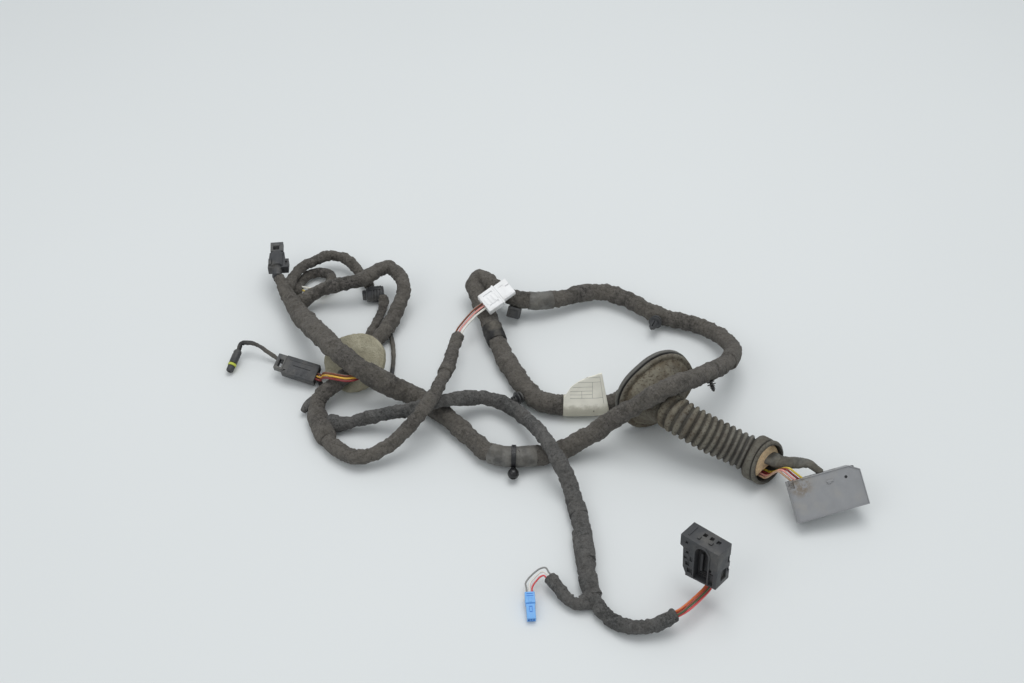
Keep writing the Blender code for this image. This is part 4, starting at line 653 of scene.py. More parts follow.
TAPE = ClothTape("fleece tape, brown with dust", "cloth_tape", (73, 70, 67), dust=(118, 113, 104))
TAPE_ARM = ClothTape("fleece tape, dark", "cloth_tape", (70, 70, 69), dust=(118, 115, 111), cover=0.4)
TAPE_DARK = SmoothTape("dark vinyl tape", "dark_tape", (29, 28, 28), roughness=0.6, cover=0.1)
TAPE_GREY = SmoothTape("grey vinyl tape", "grey_tape", (90, 89, 86), dust=(112, 108, 100))
BUNDLE = SmoothTape("door bundle tape", "grey_tape", (84, 83, 78), roughness=0.6, dust=(112, 106, 94))
SHEATH = SmoothTape("lead sheath", "lead_cover", (44, 44, 45), roughness=0.6, cover=0.3)
RUBBER = Rubber("boot rubber under dust", "boot_rubber", (92, 92, 89), dust=(132, 126, 109), cover=0.62)
FOAM_TAN = Foam("tan foam", "tan_foam", (240, 212, 172), cover=0.2)
FOAM_GREY = Foam("weathered foam", "grey_foam", (186, 181, 160), dust=(146, 139, 116), cover=0.42)
GREY = Plastic(
    "grey moulded plastic", "grey_plastic", (146, 147, 149), dust=(158, 152, 142), cover=0.12,
    grime=(0.2323, -0.0994, 0.0358, 0.013),
)
BLACK = Plastic("black moulded plastic", "black_plastic", (63, 64, 66), dust=(116, 112, 104), cover=0.16)
DUSTY = Plastic("dark grey moulded plastic", "grey_plastic", (80, 81, 82), dust=(124, 120, 110), cover=0.3)
TONGUE = Plastic("black tongue plastic", "dark_tape", (40, 41, 43), dust=(90, 86, 80), cover=0.12)
GLOSSY = Plastic(
    "glossy black plastic", "black_plastic", (24, 24, 26), roughness=0.26, dust=(90, 86, 78), cover=0.14,
    relief=0.00006,
)
WHITE = Plastic("white moulded plastic", "white_plastic", (250, 250, 250), roughness=0.42, cover=0.12)
BLUE = Plastic("blue moulded plastic", "blue_plastic", (116, 178, 240), roughness=0.42, cover=0.10)
SEAL = Plastic("yellow-green seal", "seal_yellow", (196, 204, 84), roughness=0.6, cover=0.2)
PAPER = Paper("ruled flag paper", "label_paper", (255, 252, 238))
W_RED = Insulation("red wire", "wire_red", (214, 74, 80))
W_SALMON = Insulation("salmon wire", "wire_red", (228, 88, 88))
W_PINK = Insulation("pink wire", "wire_pink", (226, 158, 150), stripe=(170, 60, 60))
W_BROWN = Insulation("brown wire", "wire_brown", (122, 66, 44), stripe=(196, 190, 178))
W_DARKRED = Insulation("dark red wire", "wire_red", (132, 40, 42))
W_GOLD = Insulation("gold wire", "wire_yellow", (226, 178, 70))
W_TAN = Insulation("tan wire", "wire_brown", (186, 150, 122), stripe=(112, 60, 44))
W_WHITE = Insulation("white wire", "wire_white", (232, 230, 222))
W_YELLOW = Insulation("yellow wire", "wire_yellow", (220, 194, 76))
W_ORANGE = Insulation("orange wire", "wire_orange", (216, 118, 62), stripe=(206, 84, 78))
W_GREEN = Insulation("green wire", "wire_green", (74, 92, 60), stripe=(206, 96, 84))
W_GREY = Insulation("grey wire", "wire_grey", (140, 140, 138))


def circle(steps: int) -> np.ndarray:
    """The angles of even steps round a circle."""
    return np.arange(steps) * 2 * pi / steps


def plain_select(obj: Object) -> None:
    """Select one object alone and make it active."""
    bpy.ops.object.select_all(action="DESELECT")
    obj.select_set(True)
    bpy.context.view_layer.objects.active = obj


def mesh_piece(name: str, verts: Sequence, faces: Sequence, finish: Finish, smooth: float = 60.0) -> Object:
    """A piece from vertices and faces.

    Args:
        name: The piece's name.
        verts: Its vertices, in metres.
        faces: Its faces, as vertex numbers.
        finish: What it is dressed in.
        smooth: The greatest angle between faces that still shade as one surface.

    Returns:
        The piece, riding on the harness.
    """
    mesh = bpy.data.meshes.new(name)
    mesh.from_pydata([tuple(v) for v in verts], [], [tuple(f) for f in faces])
    mesh.update()
    piece = bpy.data.objects.new(name, mesh)
    bpy.context.scene.collection.objects.link(piece)
    return settle(piece, finish, smooth)


def settle(piece: Object, finish: Finish, smooth: float = 60.0) -> Object:
    """Dress a finished piece, smooth it and let it ride on the harness."""
    plain_select(piece)
    bpy.ops.object.transform_apply(location=True, rotation=True, scale=True)
    bpy.ops.object.shade_smooth_by_angle(angle=radians(smooth))
    piece.data.materials.clear()
    piece.data.materials.append(finish.material())
    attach(piece, "root")
    return piece


@dataclass
class Course:
    """A smooth centre line with a radius and a square frame at even steps."""

    points: np.ndarray
    radii: np.ndarray
    along: np.ndarray
    tangents: np.ndarray
    sides: np.ndarray
    ups: np.ndarray

    @classmethod
    def through(cls, knots: Sequence, step: float, sink: tuple[float, float] = (0.0, 0.0)) -> "Course":
        """A course through knots.

        Args:
            knots: Points with their radii, in millimetres.
            step: The distance between samples, in metres.
            sink: How far it runs on, straight, before its first and past its last knot.

        Returns:
            The course.
        """
        raw = np.array(knots, float) * MM
        for end, inner, reach in ((0, 1, sink[0]), (-1, -2, sink[1])):
            if reach > 0:
                away = raw[end, :3] - raw[inner, :3]
                extra = raw[end].copy()
                extra[:3] += away / np.linalg.norm(away) * reach
                raw = np.vstack([extra, raw]) if end == 0 else np.vstack([raw, extra])
        padded = np.vstack([2 * raw[0] - raw[1], raw, 2 * raw[-1] - raw[-2]])
        dense = []
        t = np.linspace(0, 1, 14, endpoint=False)[:, None]
        for i in range(1, len(padded) - 2):
            p0, p1, p2, p3 = padded[i - 1:i + 3]
            square, cube = 2 * p0 - 5 * p1 + 4 * p2 - p3, 3 * p1 - p0 - 3 * p2 + p3
            dense.append(0.5 * (2 * p1 + (p2 - p0) * t + square * t ** 2 + cube * t ** 3))
        line = np.vstack(dense + [raw[-1:]])
        reach = np.concatenate([[0], np.cumsum(np.linalg.norm(np.diff(line[:, :3], axis=0), axis=1))])
        count = max(6, int(round(reach[-1] / step)))
        along = np.linspace(0, reach[-1], count + 1)
        even = np.stack([np.interp(along, reach, line[:, k]) for k in range(4)], axis=1)
        points, radii = even[:, :3], even[:, 3]
        tangents = np.gradient(points, axis=0)
        tangents /= np.linalg.norm(tangents, axis=1)[:, None]
        sides = np.zeros_like(points)
        side = np.cross(tangents[0], (0.0, 0.0, 1.0))
        if np.linalg.norm(side) < 1e-3:
            side = np.array((1.0, 0.0, 0.0))
        for i, along_dir in enumerate(tangents):
            side = side - along_dir * side.dot(along_dir)
            side = side / np.linalg.norm(side)
            sides[i] = side
        return cls(points, radii, along, tangents, sides, np.cross(sides, tangents))

    @property
    def length(self) -> float:
        """The course's whole length in metres."""
        return float(self.along[-1])

    def path(self, every: float = 0.003) -> list[tuple[float, float, float]]:
        """Points along the centre line, at even steps."""
        count = max(8, int(self.length / every))
        at = np.linspace(0, self.length, count)
        return [tuple(float(np.interp(s, self.along, self.points[:, k])) for k in range(3)) for s in at]

    def spokes(self, angles: np.ndarray, width: object = 1.0, height: object = 1.0) -> np.ndarray:
        """Directions out of the centre line at each sample's angles, wider or higher than round."""
        across, upward = self.sides * np.reshape(width, (-1, 1)), self.ups * np.reshape(height, (-1, 1))
        return np.cos(angles)[..., None] * across[:, None, :] + np.sin(angles)[..., None] * upward[:, None, :]

    def sample(self, i: int) -> tuple[Vector, Vector]:
        """The place and the direction of a sample."""
        return Vector(self.points[i].tolist()), Vector(self.tangents[i].tolist())

    def nearest(self, place: Sequence[float]) -> int:
        """The number of the sample nearest to a place."""
        return int(np.argmin(np.linalg.norm(self.points - np.array(place), axis=1)))

    def bend(self) -> tuple[np.ndarray, np.ndarray]:
        """How sharply it bends at each sample, and towards where."""
        turn = np.gradient(self.tangents, axis=0) / np.gradient(self.along)[:, None]
        kernel = np.ones(7) / 7
        turn = np.stack([np.convolve(turn[:, k], kernel, mode="same") for k in range(3)], axis=1)
        size = np.linalg.norm(turn, axis=1)
        return size, turn / np.maximum(size, 1e-9)[:, None]


Offset = Callable[[np.ndarray, np.ndarray, Course], np.ndarray]


def wander(along: np.ndarray, turns: float) -> np.ndarray:
    """How far the tape's laps stray from even turns, in turns, at places along a strand."""
    return np.array([noise.noise(Vector((s * 23.0, turns * 0.1, 3.7))) for s in along]) * 0.35


def tube(
    name: str, course: Course, sides: int, offset: Offset | None, finish: Finish, turns: float = 0.0,
    dome: float = 0.5, flat: tuple[object, object] = (1.0, 1.0),
) -> Object:
    """A closed round skin along a course, which lies flat where it meets the floor.

    Args:
        name: The piece's name.
        course: Its centre line.
        sides: Faces around it.
        offset: Gives how far each vertex stands off the plain radius, from angles and sample numbers.
        finish: What it is dressed in.
        turns: Laps of tape for each metre, kept in the UV map's height; 0 keeps metres.
        dome: How far its ends bulge, as a share of the radius.
        flat: How many times wider and higher than round it is at each sample.

    Returns:
        The piece.
    """
    angles, rows = np.meshgrid(circle(sides), np.arange(len(course.points)))
    radius = np.repeat(course.radii[:, None], sides, axis=1)
    if offset is not None:
        radius = radius + offset(angles, rows, course)
    rings = course.points[:, None, :] + course.spokes(angles, *flat) * radius[..., None]
    rings[..., 2] = np.maximum(rings[..., 2], FLOOR + 0.5 * FLOOR * np.abs(np.sin(angles * 5)))
    caps_start, caps_end = [], []
    for share, lift in ((0.94, 0.35), (0.72, 0.75), (0.38, 0.95)):
        for store, i, sign in ((caps_start, 0, -1.0), (caps_end, -1, 1.0)):
            centre = course.points[i] + course.tangents[i] * sign * lift * dome * course.radii[i]
            store.append(centre + (rings[i] - course.points[i]) * share)
    grid = np.concatenate([np.array(caps_start[::-1]), rings, np.array(caps_end)])
    total = len(grid)
    tips = [course.points[i] + course.tangents[i] * s * dome * course.radii[i] for i, s in ((0, -1.0), (-1, 1.0))]
    verts = np.vstack([grid.reshape(-1, 3), tips])
    j = np.arange(sides)
    nxt = (j + 1) % sides
    faces: list[tuple[int, ...]] = []
    for i in range(total - 1):
        lo, hi = i * sides, (i + 1) * sides
        faces.extend(zip(lo + j, lo + nxt, hi + nxt, hi + j))
    first, last = len(verts) - 2, len(verts) - 1
    faces.extend((first, int(n), int(k)) for k, n in zip(j, nxt))
    base = (total - 1) * sides
    faces.extend((last, int(base + k), int(base + n)) for k, n in zip(j, nxt))
    flipped = [tuple(int(v) for v in reversed(f)) for f in faces]
    piece = mesh_piece(name, verts.tolist(), flipped, finish, 75.0)
    height = np.concatenate([np.repeat(course.along[0], 3), course.along, np.repeat(course.along[-1], 3)])
    if turns:
        height = height * turns + wander(height, turns)
    layer = piece.data.uv_layers.new(name="UVMap")
    vert_of = np.zeros(len(piece.data.loops), int)
    piece.data.loops.foreach_get("vertex_index", vert_of)
    uv = np.stack([vert_of % sides / sides, height[np.minimum(vert_of // sides, total - 1)]], axis=1)
    for poly in piece.data.polygons:
        span = slice(poly.loop_start, poly.loop_start + poly.loop_total)
        u = uv[span, 0]
        if u.max() - u.min() > 0.5:
            uv[span, 0] = np.where(u < 0.5, u + 1.0, u)
    layer.data.foreach_set("uv", uv.ravel())
    return piece


@dataclass
class TapedStrand:
    """One strand of wires wound in fleece tape.

    Its skin follows the CAD strand's centre line. The wound tape shows as a stepped spiral, the wires under
    it as soft lumps, and each bend has folds on its inner side. Its root may flare where it leaves a thicker
    strand.
    """

    node: str
    finish: Finish = TAPE
    pitch: float = 0.0105
    lap: float = 0.00058
    lump: float = 0.00075
    fuzz: float = 0.00030
    flare: tuple[float, float] = (0.0, 0.0)
    sink: tuple[float, float] = (0.0, 0.0)
    seed: float = 0.0
    slim: float = 0.94
    flatten: tuple[float, float] | None = None
    sides: int = 40
    step: float = 0.00105
    is_cord: bool = True
    course: Course = field(init=False)

    def __post_init__(self) -> None:
        """Lay out the centre line."""
        self.course = Course.through(route(self.node), self.step, self.sink)
        self.course.radii = self.course.radii * self.slim

    def offset(self, angles: np.ndarray, rows: np.ndarray, course: Course) -> np.ndarray:
        """How far each vertex of the skin stands off the strand's plain radius."""
        along = course.along[rows]
        strayed = wander(course.along, 1.0 / self.pitch)[rows]
        phase = (angles / (2 * pi) + along / self.pitch + strayed) % 1.0
        saw = np.clip(1.0 - phase / 0.8, 0.0, 1.0)
        rise = np.clip(phase / 0.08, 0.0, 1.0)
        out = self.lap * (saw * rise - 0.4)
        size, towards = course.bend()
        spokes = course.spokes(angles)
        inner = np.clip(np.sum(spokes * towards[:, None, :], axis=2), 0.0, 1.0)
        strain = np.clip(size * course.radii, 0.0, 0.5)
        folds = np.sin(along / 0.0052 * 2 * pi + 1.7 * np.sin(along / 0.031))
        out = out + inner ** 2 * strain[:, None] * (0.0016 * folds - 0.0004)
        places = (course.points[:, None, :] + spokes * course.radii[:, None, None]).reshape(-1, 3)
        soft = np.empty(len(places))
        for i, (x, y, z) in enumerate(places):
            here = Vector((x, y, z + self.seed))
            soft[i] = (
                self.lump * 1.5 * noise.noise(here * 62.0)
                + self.lump * 1.35 * noise.noise(here * 165.0)
                + self.fuzz * 2.4 * noise.noise(here * 330.0)
                + self.fuzz * 1.5 * noise.noise(here * 640.0)
            )
        out = out + soft.reshape(out.shape)
        for gap, sunk, reach in zip((along, course.length - along), self.sink, self.flare):
            if reach > 0:
                out = out + reach * np.exp(-((gap / (sunk + 0.006)) ** 2.5))
                out = out - 0.5 * course.radii[:, None] * np.clip(1.0 - gap / (sunk * 0.4), 0.0, 1.0)
        return out

    def build(self) -> Object:
        """Make the strand's skin in place of its CAD node."""
        flat = (1.0, 1.0)
        if self.flatten is not None:
            share = self.course.along / self.course.length
            fade = np.clip((share - 0.25) / 0.6, 0.0, 1.0)
            flat = tuple(size * (1 - fade) + fade for size in self.flatten)
        skin = f"{self.node}_skin"
        piece = tube(skin, self.course, self.sides, self.offset, self.finish, 1.0 / self.pitch, 0.35, flat)
        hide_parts(self.node)
        return piece

    def declare(self, piece: Object) -> None:
        """Sample the strand's path if it is a cord; the points are not kept."""
        if not self.is_cord:
            return
        self.course.path()


@dataclass
class BareWire:
    """One insulated wire between a strand's open end and a plug."""

    node: str
    finish: Finish
    sink: tuple[float, float] = (0.004, 0.0025)
    sides: int = 14
    step: float = 0.0009

    def build(self) -> Object:
        """Make the wire in place of its CAD node, and sample its path if it is long enough."""
        course = Course.through(route(self.node), self.step, self.sink)
        piece = tube(f"{self.node}_round", course, self.sides, None, self.finish, 0.0, 0.3)
        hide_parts(self.node)
        if course.length >= SHORTEST_CORD:
            course.path(0.0015)
        return piece


@dataclass
class Strands:
    """Every taped strand and lead of the harness."""

    taped: tuple[TapedStrand, ...] = (
        TapedStrand("trunk", pitch=0.0118, lump=0.0009, seed=0.0, sink=(0.012, 0.003)),
        TapedStrand("arm_left", TAPE, flare=(0.0020, 0.0), sink=(0.008, 0.0), seed=1.3),
        TapedStrand("arm_front", TAPE_ARM, flare=(0.0014, 0.0), sink=(0.008, 0.0), seed=2.1, lap=0.0005, lump=0.0007),
        TapedStrand("branch_upper", TAPE, flare=(0.0020, 0.0), sink=(0.006, 0.003), seed=3.3, lump=0.0005),
        TapedStrand("branch_curl", TAPE, flare=(0.0016, 0.0), sink=(0.005, 0.0), seed=4.9, lump=0.0004),
        TapedStrand("branch_link", TAPE, flare=(0.0014, 0.0014), sink=(0.005, 0.005), seed=5.2, lump=0.0004),
        TapedStrand("stub_front", TAPE_ARM, flare=(0.003, 0.0), sink=(0.006, 0.0), seed=6.8, lump=0.0006, is_cord=False),
        TapedStrand("lead_link", SHEATH, 0.008, 0.00012, 0.00022, 0.00006, sink=(0.004, 0.004), seed=7.7, sides=20),
        TapedStrand("lead_probe", SHEATH, 0.007, 0.00016, 0.00028, 0.00008, sink=(0.002, 0.004), seed=8.4, sides=20),
        TapedStrand(
            "bundle_door", BUNDLE, 0.014, 0.00012, 0.00035, 0.0001, sink=(0.012, 0.003), seed=9.1, slim=1.0,
            flatten=(1.85, 0.9), sides=36,
        ),
    )

    def courses(self) -> dict[str, Course]:
        """Each strand's centre line, by its node."""
        return {strand.node: strand.course for strand in self.taped}

    def build(self) -> dict[str, Object]:
        """Make every strand, sample each cord's path and log each strand's length."""
        made = {}
        for strand in self.taped:
            made[strand.node] = strand.build()
            strand.declare(made[strand.node])
            LOG.info("%s: %.0f mm long", strand.node, strand.course.length / MM)
        return made


@dataclass
class Wires:
    """Every bare wire of the harness, in its colour."""

    colors: tuple[tuple[str, Finish], ...] = (
        ("wire_door_brown", W_TAN), ("wire_door_pink", W_PINK), ("wire_door_red", W_DARKRED),
        ("wire_door_yellow", W_YELLOW), ("wire_motor_red_a", W_SALMON), ("wire_motor_red_b", W_SALMON),
        ("wire_motor_orange", W_ORANGE), ("wire_motor_green", W_GREEN), ("wire_plug_brown", W_BROWN),
        ("wire_plug_pink", W_PINK), ("wire_plug_white", W_WHITE), ("wire_blue_red", W_RED),
        ("wire_blue_white", W_WHITE), ("wire_blue_grey", W_GREY), ("wire_flat_red", W_DARKRED),
        ("wire_flat_yellow", W_GOLD), ("wire_flat_orange", W_BROWN), ("wire_curl_white", W_WHITE),
        ("wire_curl_yellow", W_YELLOW),
    )

    def build(self) -> list[Object]:
        """Make every wire."""
        made = [BareWire(node, finish).build() for node, finish in self.colors]
        LOG.info("%d bare wires", len(made))
        return made


def frame_at(origin: Sequence[float], x_axis: Sequence[float], z_axis: Sequence[float]) -> Matrix:
    """A placement from millimetres whose z is exact and whose x is the nearest square direction."""
    z = Vector(z_axis).normalized()
    x = Vector(x_axis)
    x = (x - z * x.dot(z)).normalized()
    turn = Matrix((x, z.cross(x), z)).transposed().to_4x4()
    return Matrix.Translation(Vector(origin) * MM) @ turn


def edit_ops(obj: Object, work: Callable[[EditMesh], None]) -> None:
    """Work on one object in edit mode.

    Args:
        obj: The object.
        work: Called with its edit mesh; it selects in code and calls mesh operators.
    """
    plain_select(obj)
    bpy.ops.object.mode_set(mode="EDIT")
    work(bmesh.from_edit_mesh(obj.data))
    bpy.ops.object.mode_set(mode="OBJECT")


def apply_modifier(obj: Object, kind: str, **values: object) -> None:
    """Add a modifier to an object, set it and apply it."""
    plain_select(obj)
    mod = obj.modifiers.new(kind.title(), kind)
    for key, value in values.items():
        setattr(mod, key, value)
    bpy.ops.object.modifier_apply(modifier=mod.name)


def extrude_rings(name: str, rings: Sequence[Ring], close: tuple[bool, bool] = (True, True)) -> Object:
    """Extrude a circle's edge from ring to ring.

    Args:
        name: The object's name.
        rings: Rings of points, all of one count, in the order of the extrusions.
        close: Whether the first and the last ring get a face.

    Returns:
        The object, its faces outwards.
    """
    bpy.ops.object.select_all(action="DESELECT")
    bpy.ops.mesh.primitive_circle_add(vertices=len(rings[0]), radius=0.01, fill_type="NOTHING")
    obj = bpy.context.active_object
    obj.name = name

    def work(bm: EditMesh) -> None:
        """Lay the first ring, extrude the rest and close the ends."""
        column = bm.verts.layers.int.new("column")
        row = bm.verts.layers.int.new("row")
        for k, vert in enumerate(bm.verts):
            vert[column] = k
            vert.co = rings[0][k]
        for number, ring in enumerate(rings[1:], 1):
            bpy.ops.mesh.extrude_edges_indiv()
            bm = bmesh.from_edit_mesh(obj.data)
            column, row = bm.verts.layers.int["column"], bm.verts.layers.int["row"]
            for vert in bm.verts:
                if vert.select:
                    vert[row] = number
                    vert.co = ring[vert[column]]
        if close[1]:
            bpy.ops.mesh.edge_face_add()
        if close[0]:
            bpy.ops.mesh.select_all(action="DESELECT")
            bm = bmesh.from_edit_mesh(obj.data)
            row = bm.verts.layers.int["row"]
            for vert in bm.verts:
                vert.select = vert[row] == 0
            bm.select_flush(True)
            bpy.ops.mesh.edge_face_add()
        bpy.ops.mesh.select_all(action="SELECT")
        bpy.ops.mesh.normals_make_consistent(inside=False)

    edit_ops(obj, work)
    return obj


def oval_ring(
    centre: Vector, long_axis: Vector, short_axis: Vector, a: float, b: float, power: float, count: int,
) -> Ring:
    """A ring between a circle and a rounded box.

    Args:
        centre: Its middle.
        long_axis: The direction of its first half size.
        short_axis: The direction of its second half size.
        a: Its first half size.
        b: Its second half size.
        power: 2 for an ellipse; more for a squarer ring.
        count: Its number of points.

    Returns:
        The ring.
    """
    ring = []
    for t in circle(count):
        c, s = cos(t), sin(t)
        x = copysign(abs(c) ** (2 / power), c) * a
        y = copysign(abs(s) ** (2 / power), s) * b
        ring.append(centre + long_axis * x + short_axis * y)
    return ring


@dataclass
class DoorBoot:
    """Rubber boot: oval flange with its panel groove, domed neck, ribbed bellows and an open collar."""

    flange_at: Vector = field(default_factory=lambda: Vector((115.5, 11.0, 37.8)) * MM)
    normal: Vector = field(default_factory=lambda: Vector((0.402, -0.88, 0.252)).normalized())
    long_hint: Vector = field(default_factory=lambda: Vector((0.741, 0.475, 0.475)))
    flange: tuple[float, float, float] = (0.0405, 0.0335, 0.009)
    groove: float = 0.0026
    root_at: Vector = field(default_factory=lambda: Vector((124.0, -16.5, 42.8)) * MM)
    mouth_at: Vector = field(default_factory=lambda: Vector((211.0, -63.5, 23.2)) * MM)
    mouth_out: Vector = field(default_factory=lambda: Vector((0.75, -0.645, 0.12)).normalized())
    rib: tuple[float, float] = (0.0172, 0.0146)
    ribs: int = 13
    collar: tuple[float, float] = (0.021, 0.021)
    mouth: tuple[float, float] = (0.0175, 0.012)
    sag: float = 13.0
    squareness: float = 2.3
    sides: int = 112

    def line(self, count: int = 240) -> list[Vector]:
        """The bellows' centre line from the dome to the mouth, at even steps."""
        p0, p3 = self.root_at, self.mouth_at
        p1 = p0 + self.normal * 0.021 + self.mouth_out * 0.008
        p2 = p3 - self.mouth_out * 0.042
        raw = []
        for k in range(81):
            t = k / 80
            raw.append(p0 * (1 - t) ** 3 + p1 * 3 * (1 - t) ** 2 * t + p2 * 3 * (1 - t) * t ** 2 + p3 * t ** 3)
        reach = [0.0]
        for a, b in zip(raw, raw[1:]):
            reach.append(reach[-1] + (b - a).length)
        at = np.linspace(0, reach[-1], count)
        return [Vector([float(np.interp(s, reach, [p[k] for p in raw])) for k in range(3)]) for s in at]

    def section(self, line: Sequence[Vector], share: float, radius: float) -> Ring:
        """A round ring of the bellows at a share of its length.

        Args:
            line: The bellows' centre line.
            share: How far along it, from 0 to 1.
            radius: The ring's radius.

        Returns:
            The ring.
        """
        place = share * (len(line) - 1)
        i = min(len(line) - 2, max(0, int(place)))
        centre = line[i].lerp(line[i + 1], place - i)
        low, high = max(0, i - 3), min(len(line) - 1, i + 4)
        along = (line[high] - line[low]).normalized()
        axis = (self.long_hint - along * self.long_hint.dot(along)).normalized()
        return oval_ring(centre, axis, along.cross(axis), radius, radius, 2.0, self.sides)

    def flange_rings(self) -> Rings:
        """Rings of the flange and the dome, with how much painted shade with dirt and how much dust each one gets."""
        normal = self.normal
        long_axis = (self.long_hint - normal * self.long_hint.dot(normal)).normalized()
        short_axis = normal.cross(long_axis)
        a, b, thick = self.flange
        back = self.flange_at - normal * thick
        groove = self.groove / MM
        profile = (  # height over the back and inset, in millimetres, then how much painted shade with dirt and how dusty
            (2.5, 14, 0.2, 0.5), (2.2, 9, 0.2, 0.5), (2, 5, 0.3, 0.4), (-1.2, 4, 0, 0.1), (-1.7, 3.2, 0, 0.1),
            (-1.8, 1.6, 0, 0.1), (-1.2, 0.6, 0, 0.1), (0.2, 0.1, 0, 0.1), (2.6, 0, 0, 0.1), (3.1, 0.3, 0.1, 0.1),
            (3.4, 1, 0.9, 0), (3.7, groove, 1, 0), (4.5, groove + 0.3, 1, 0), (5.3, groove, 1, 0),
            (5.7, 1.2, 0.8, 0.1), (6.1, 0.7, 0.1, 0.4), (7, 0.6, 0, 0.5), (7.8, 0.8, 0, 0.6), (8.6, 1.4, 0, 0.6),
            (9, 2.4, 0, 0.7), (8.9, 3.6, 0, 0.8), (8.7, 4.6, 0.3, 0.8), (9.1, 5.6, 0.1, 0.9),
        )
        rings, dust = [], []
        for rise, inset, hollow, dusty in profile:
            centre, size_a, size_b = back + normal * rise * MM, a - inset * MM, b - inset * MM
            rings.append(oval_ring(centre, long_axis, short_axis, size_a, size_b, self.squareness, self.sides))
            dust.append((float(hollow), float(dusty)))
        root_dir = (self.line()[4] - self.line()[0]).normalized()
        shares, insets = (0.0, 0.22, 0.45, 0.68, 0.86), (0.0044, 0.0060, 0.0095, 0.0135, 0.0165)
        for step in range(14):
            share = 0.14 + 0.76 * step / 13
            inset = float(np.interp(share, shares, insets))
            centre = self.flange_at.lerp(self.root_at, share)
            top = self.rib[1] * share * 1.12
            size_a = (a - inset) * (1 - share) + top
            size_b = (b - inset * 0.8) * (1 - share) + top
            along = normal.lerp(root_dir, share).normalized()
            axis = (long_axis - along * long_axis.dot(along)).normalized()
            power = self.squareness - (self.squareness - 2) * share
            rings.append(oval_ring(centre, axis, along.cross(axis), size_a, size_b, power, self.sides))
            dust.append((0.05 + 0.12 * sin(step * 1.3) ** 2, 0.85 - 0.35 * share))
        return rings, dust

    def bellows_rings(self, line: Sequence[Vector], total: float) -> Rings:
        """Rings of the ribs, each with a rounded crest and a narrow valley."""
        rings, dust = [], []
        zone = total - self.collar[1]
        pitch = zone / self.ribs
        crest, valley = self.rib
        for rib in range(self.ribs):
            low = 0.12 if rib else 0.02
            for step in range(9):
                t = step / 9
                rise = sin(pi * min(1.0, t / 0.86)) ** 0.62 if t < 0.86 else 0.0
                height = crest * (0.994 + 0.006 * sin(rib * 2.1))
                share = (rib + low + t * (1.0 - low)) * pitch / total
                rings.append(self.section(line, share, valley + (height - valley) * rise))
                # Painted shade with dirt fills each valley; the crests get none.
                dust.append((0.85 * (1.0 - rise) ** 1.5, 0.75 - 0.5 * rib / self.ribs))
        return rings, dust

    def collar_rings(self, line: Sequence[Vector], total: float) -> Rings:
        """Rings of the smooth collar with its clamp groove, lip and mouth."""
        zone = total - self.collar[1]
        outer, valley = self.collar[0] / MM, self.rib[1] / MM
        profile = (  # place and radius, in millimetres, then how much painted shade with dirt it gets
            (0, valley + 0.3, 0.9), (0.8, valley + 1.8, 0.4), (2.2, outer - 2.2, 0.2), (4, outer - 0.8, 0.1),
            (5.6, outer - 0.1, 0.1), (7.8, outer, 0.1), (10.8, outer, 0.1), (13.2, outer - 0.1, 0.2),
            (13.8, outer - 0.7, 0.7), (14.5, outer - 1.3, 1), (15.2, outer - 1.3, 1), (15.8, outer - 0.6, 0.5),
            (16.4, outer - 0.1, 0.1), (18.5, outer + 0.2, 0.1), (19.8, outer - 0.3, 0.1), (20.6, outer - 1.2, 0.2),
            (21, outer - 2.1, 0.4),
        )
        rings = [self.section(line, min(1.0, (zone + at * MM) / total), r * MM) for at, r, _ in profile]
        # The collar gets a little painted shade with dirt all over, and most in its grooves.
        dust = [(min(1.0, held + 0.12), 0.45) for _, _, held in profile]
        axis = (self.long_hint - self.mouth_out * self.long_hint.dot(self.mouth_out)).normalized()
        side = self.mouth_out.cross(axis)
        bore, end = self.mouth
        # The mouth's rings get painted shade with dirt, darkest deep inside.
        for depth, radius in ((-0.0001, bore + 0.0006), (0.0006, bore + 0.0001), (0.004, bore), (end, bore)):
            centre = self.mouth_at - self.mouth_out * depth
            rings.append(oval_ring(centre, axis, side, radius, radius, 2.0, self.sides))
            dust.append((0.85 if depth > 0.003 else 0.5, 0.1))
        return [self.slant(ring) for ring in rings], dust

    def slant(self, ring: Ring) -> Ring:
        """Lean the collar's end over, more and more towards its lip, as the soft rubber sags round its foam."""
        hinge = self.mouth_out.cross(Vector((-0.177, -0.634, 0.753))).normalized()
        turn = Matrix.Rotation(-radians(self.sag), 3, hinge)
        turn.invert()
        out = []
        for point in ring:
            rel = point - self.mouth_at
            share = min(1.0, max(0.0, 1.0 + rel.dot(self.mouth_out) / 0.017))
            out.append(self.mouth_at + rel.lerp(turn @ rel, share))
        return out

    def slump(self, rings: Sequence[Ring]) -> list[Ring]:
        """Let the old rubber wander a little from its moulded shape."""
        out = []
        for ring in rings:
            centre = sum(ring, Vector()) / len(ring)
            moved = []
            for point in ring:
                push = 0.00045 * noise.noise(point * 55.0) + 0.00020 * noise.noise(point * 190.0)
                moved.append(point + (point - centre).normalized() * push)
            out.append(moved)
        return out

    def build(self) -> Object:
        """Make the boot in place of its CAD node."""
        line = self.line()
        total = sum((b - a).length for a, b in zip(line, line[1:]))
        rings, dust = self.flange_rings()
        for more, held in (self.bellows_rings(line, total), self.collar_rings(line, total)):
            rings += more
            dust += held
        boot = extrude_rings("door_boot", self.slump(rings))
        rows = [0] * len(boot.data.vertices)
        boot.data.attributes["row"].data.foreach_get("value", rows)
        # The "hollow" mask carries painted shade with dirt; the "dusty" mask carries dust.
        for k, name in enumerate(("hollow", "dusty")):
            mask = boot.data.attributes.new(name, "FLOAT", "POINT")
            mask.data.foreach_set("value", [dust[r][k] for r in rows])
        for vert in boot.data.vertices:
            vert.co.z = max(vert.co.z, FLOOR)
        settle(boot, RUBBER, 50.0)
        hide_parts("grommet")
        LOG.info("door boot: %d rings round %d ribs", len(rings), self.ribs)
        return boot

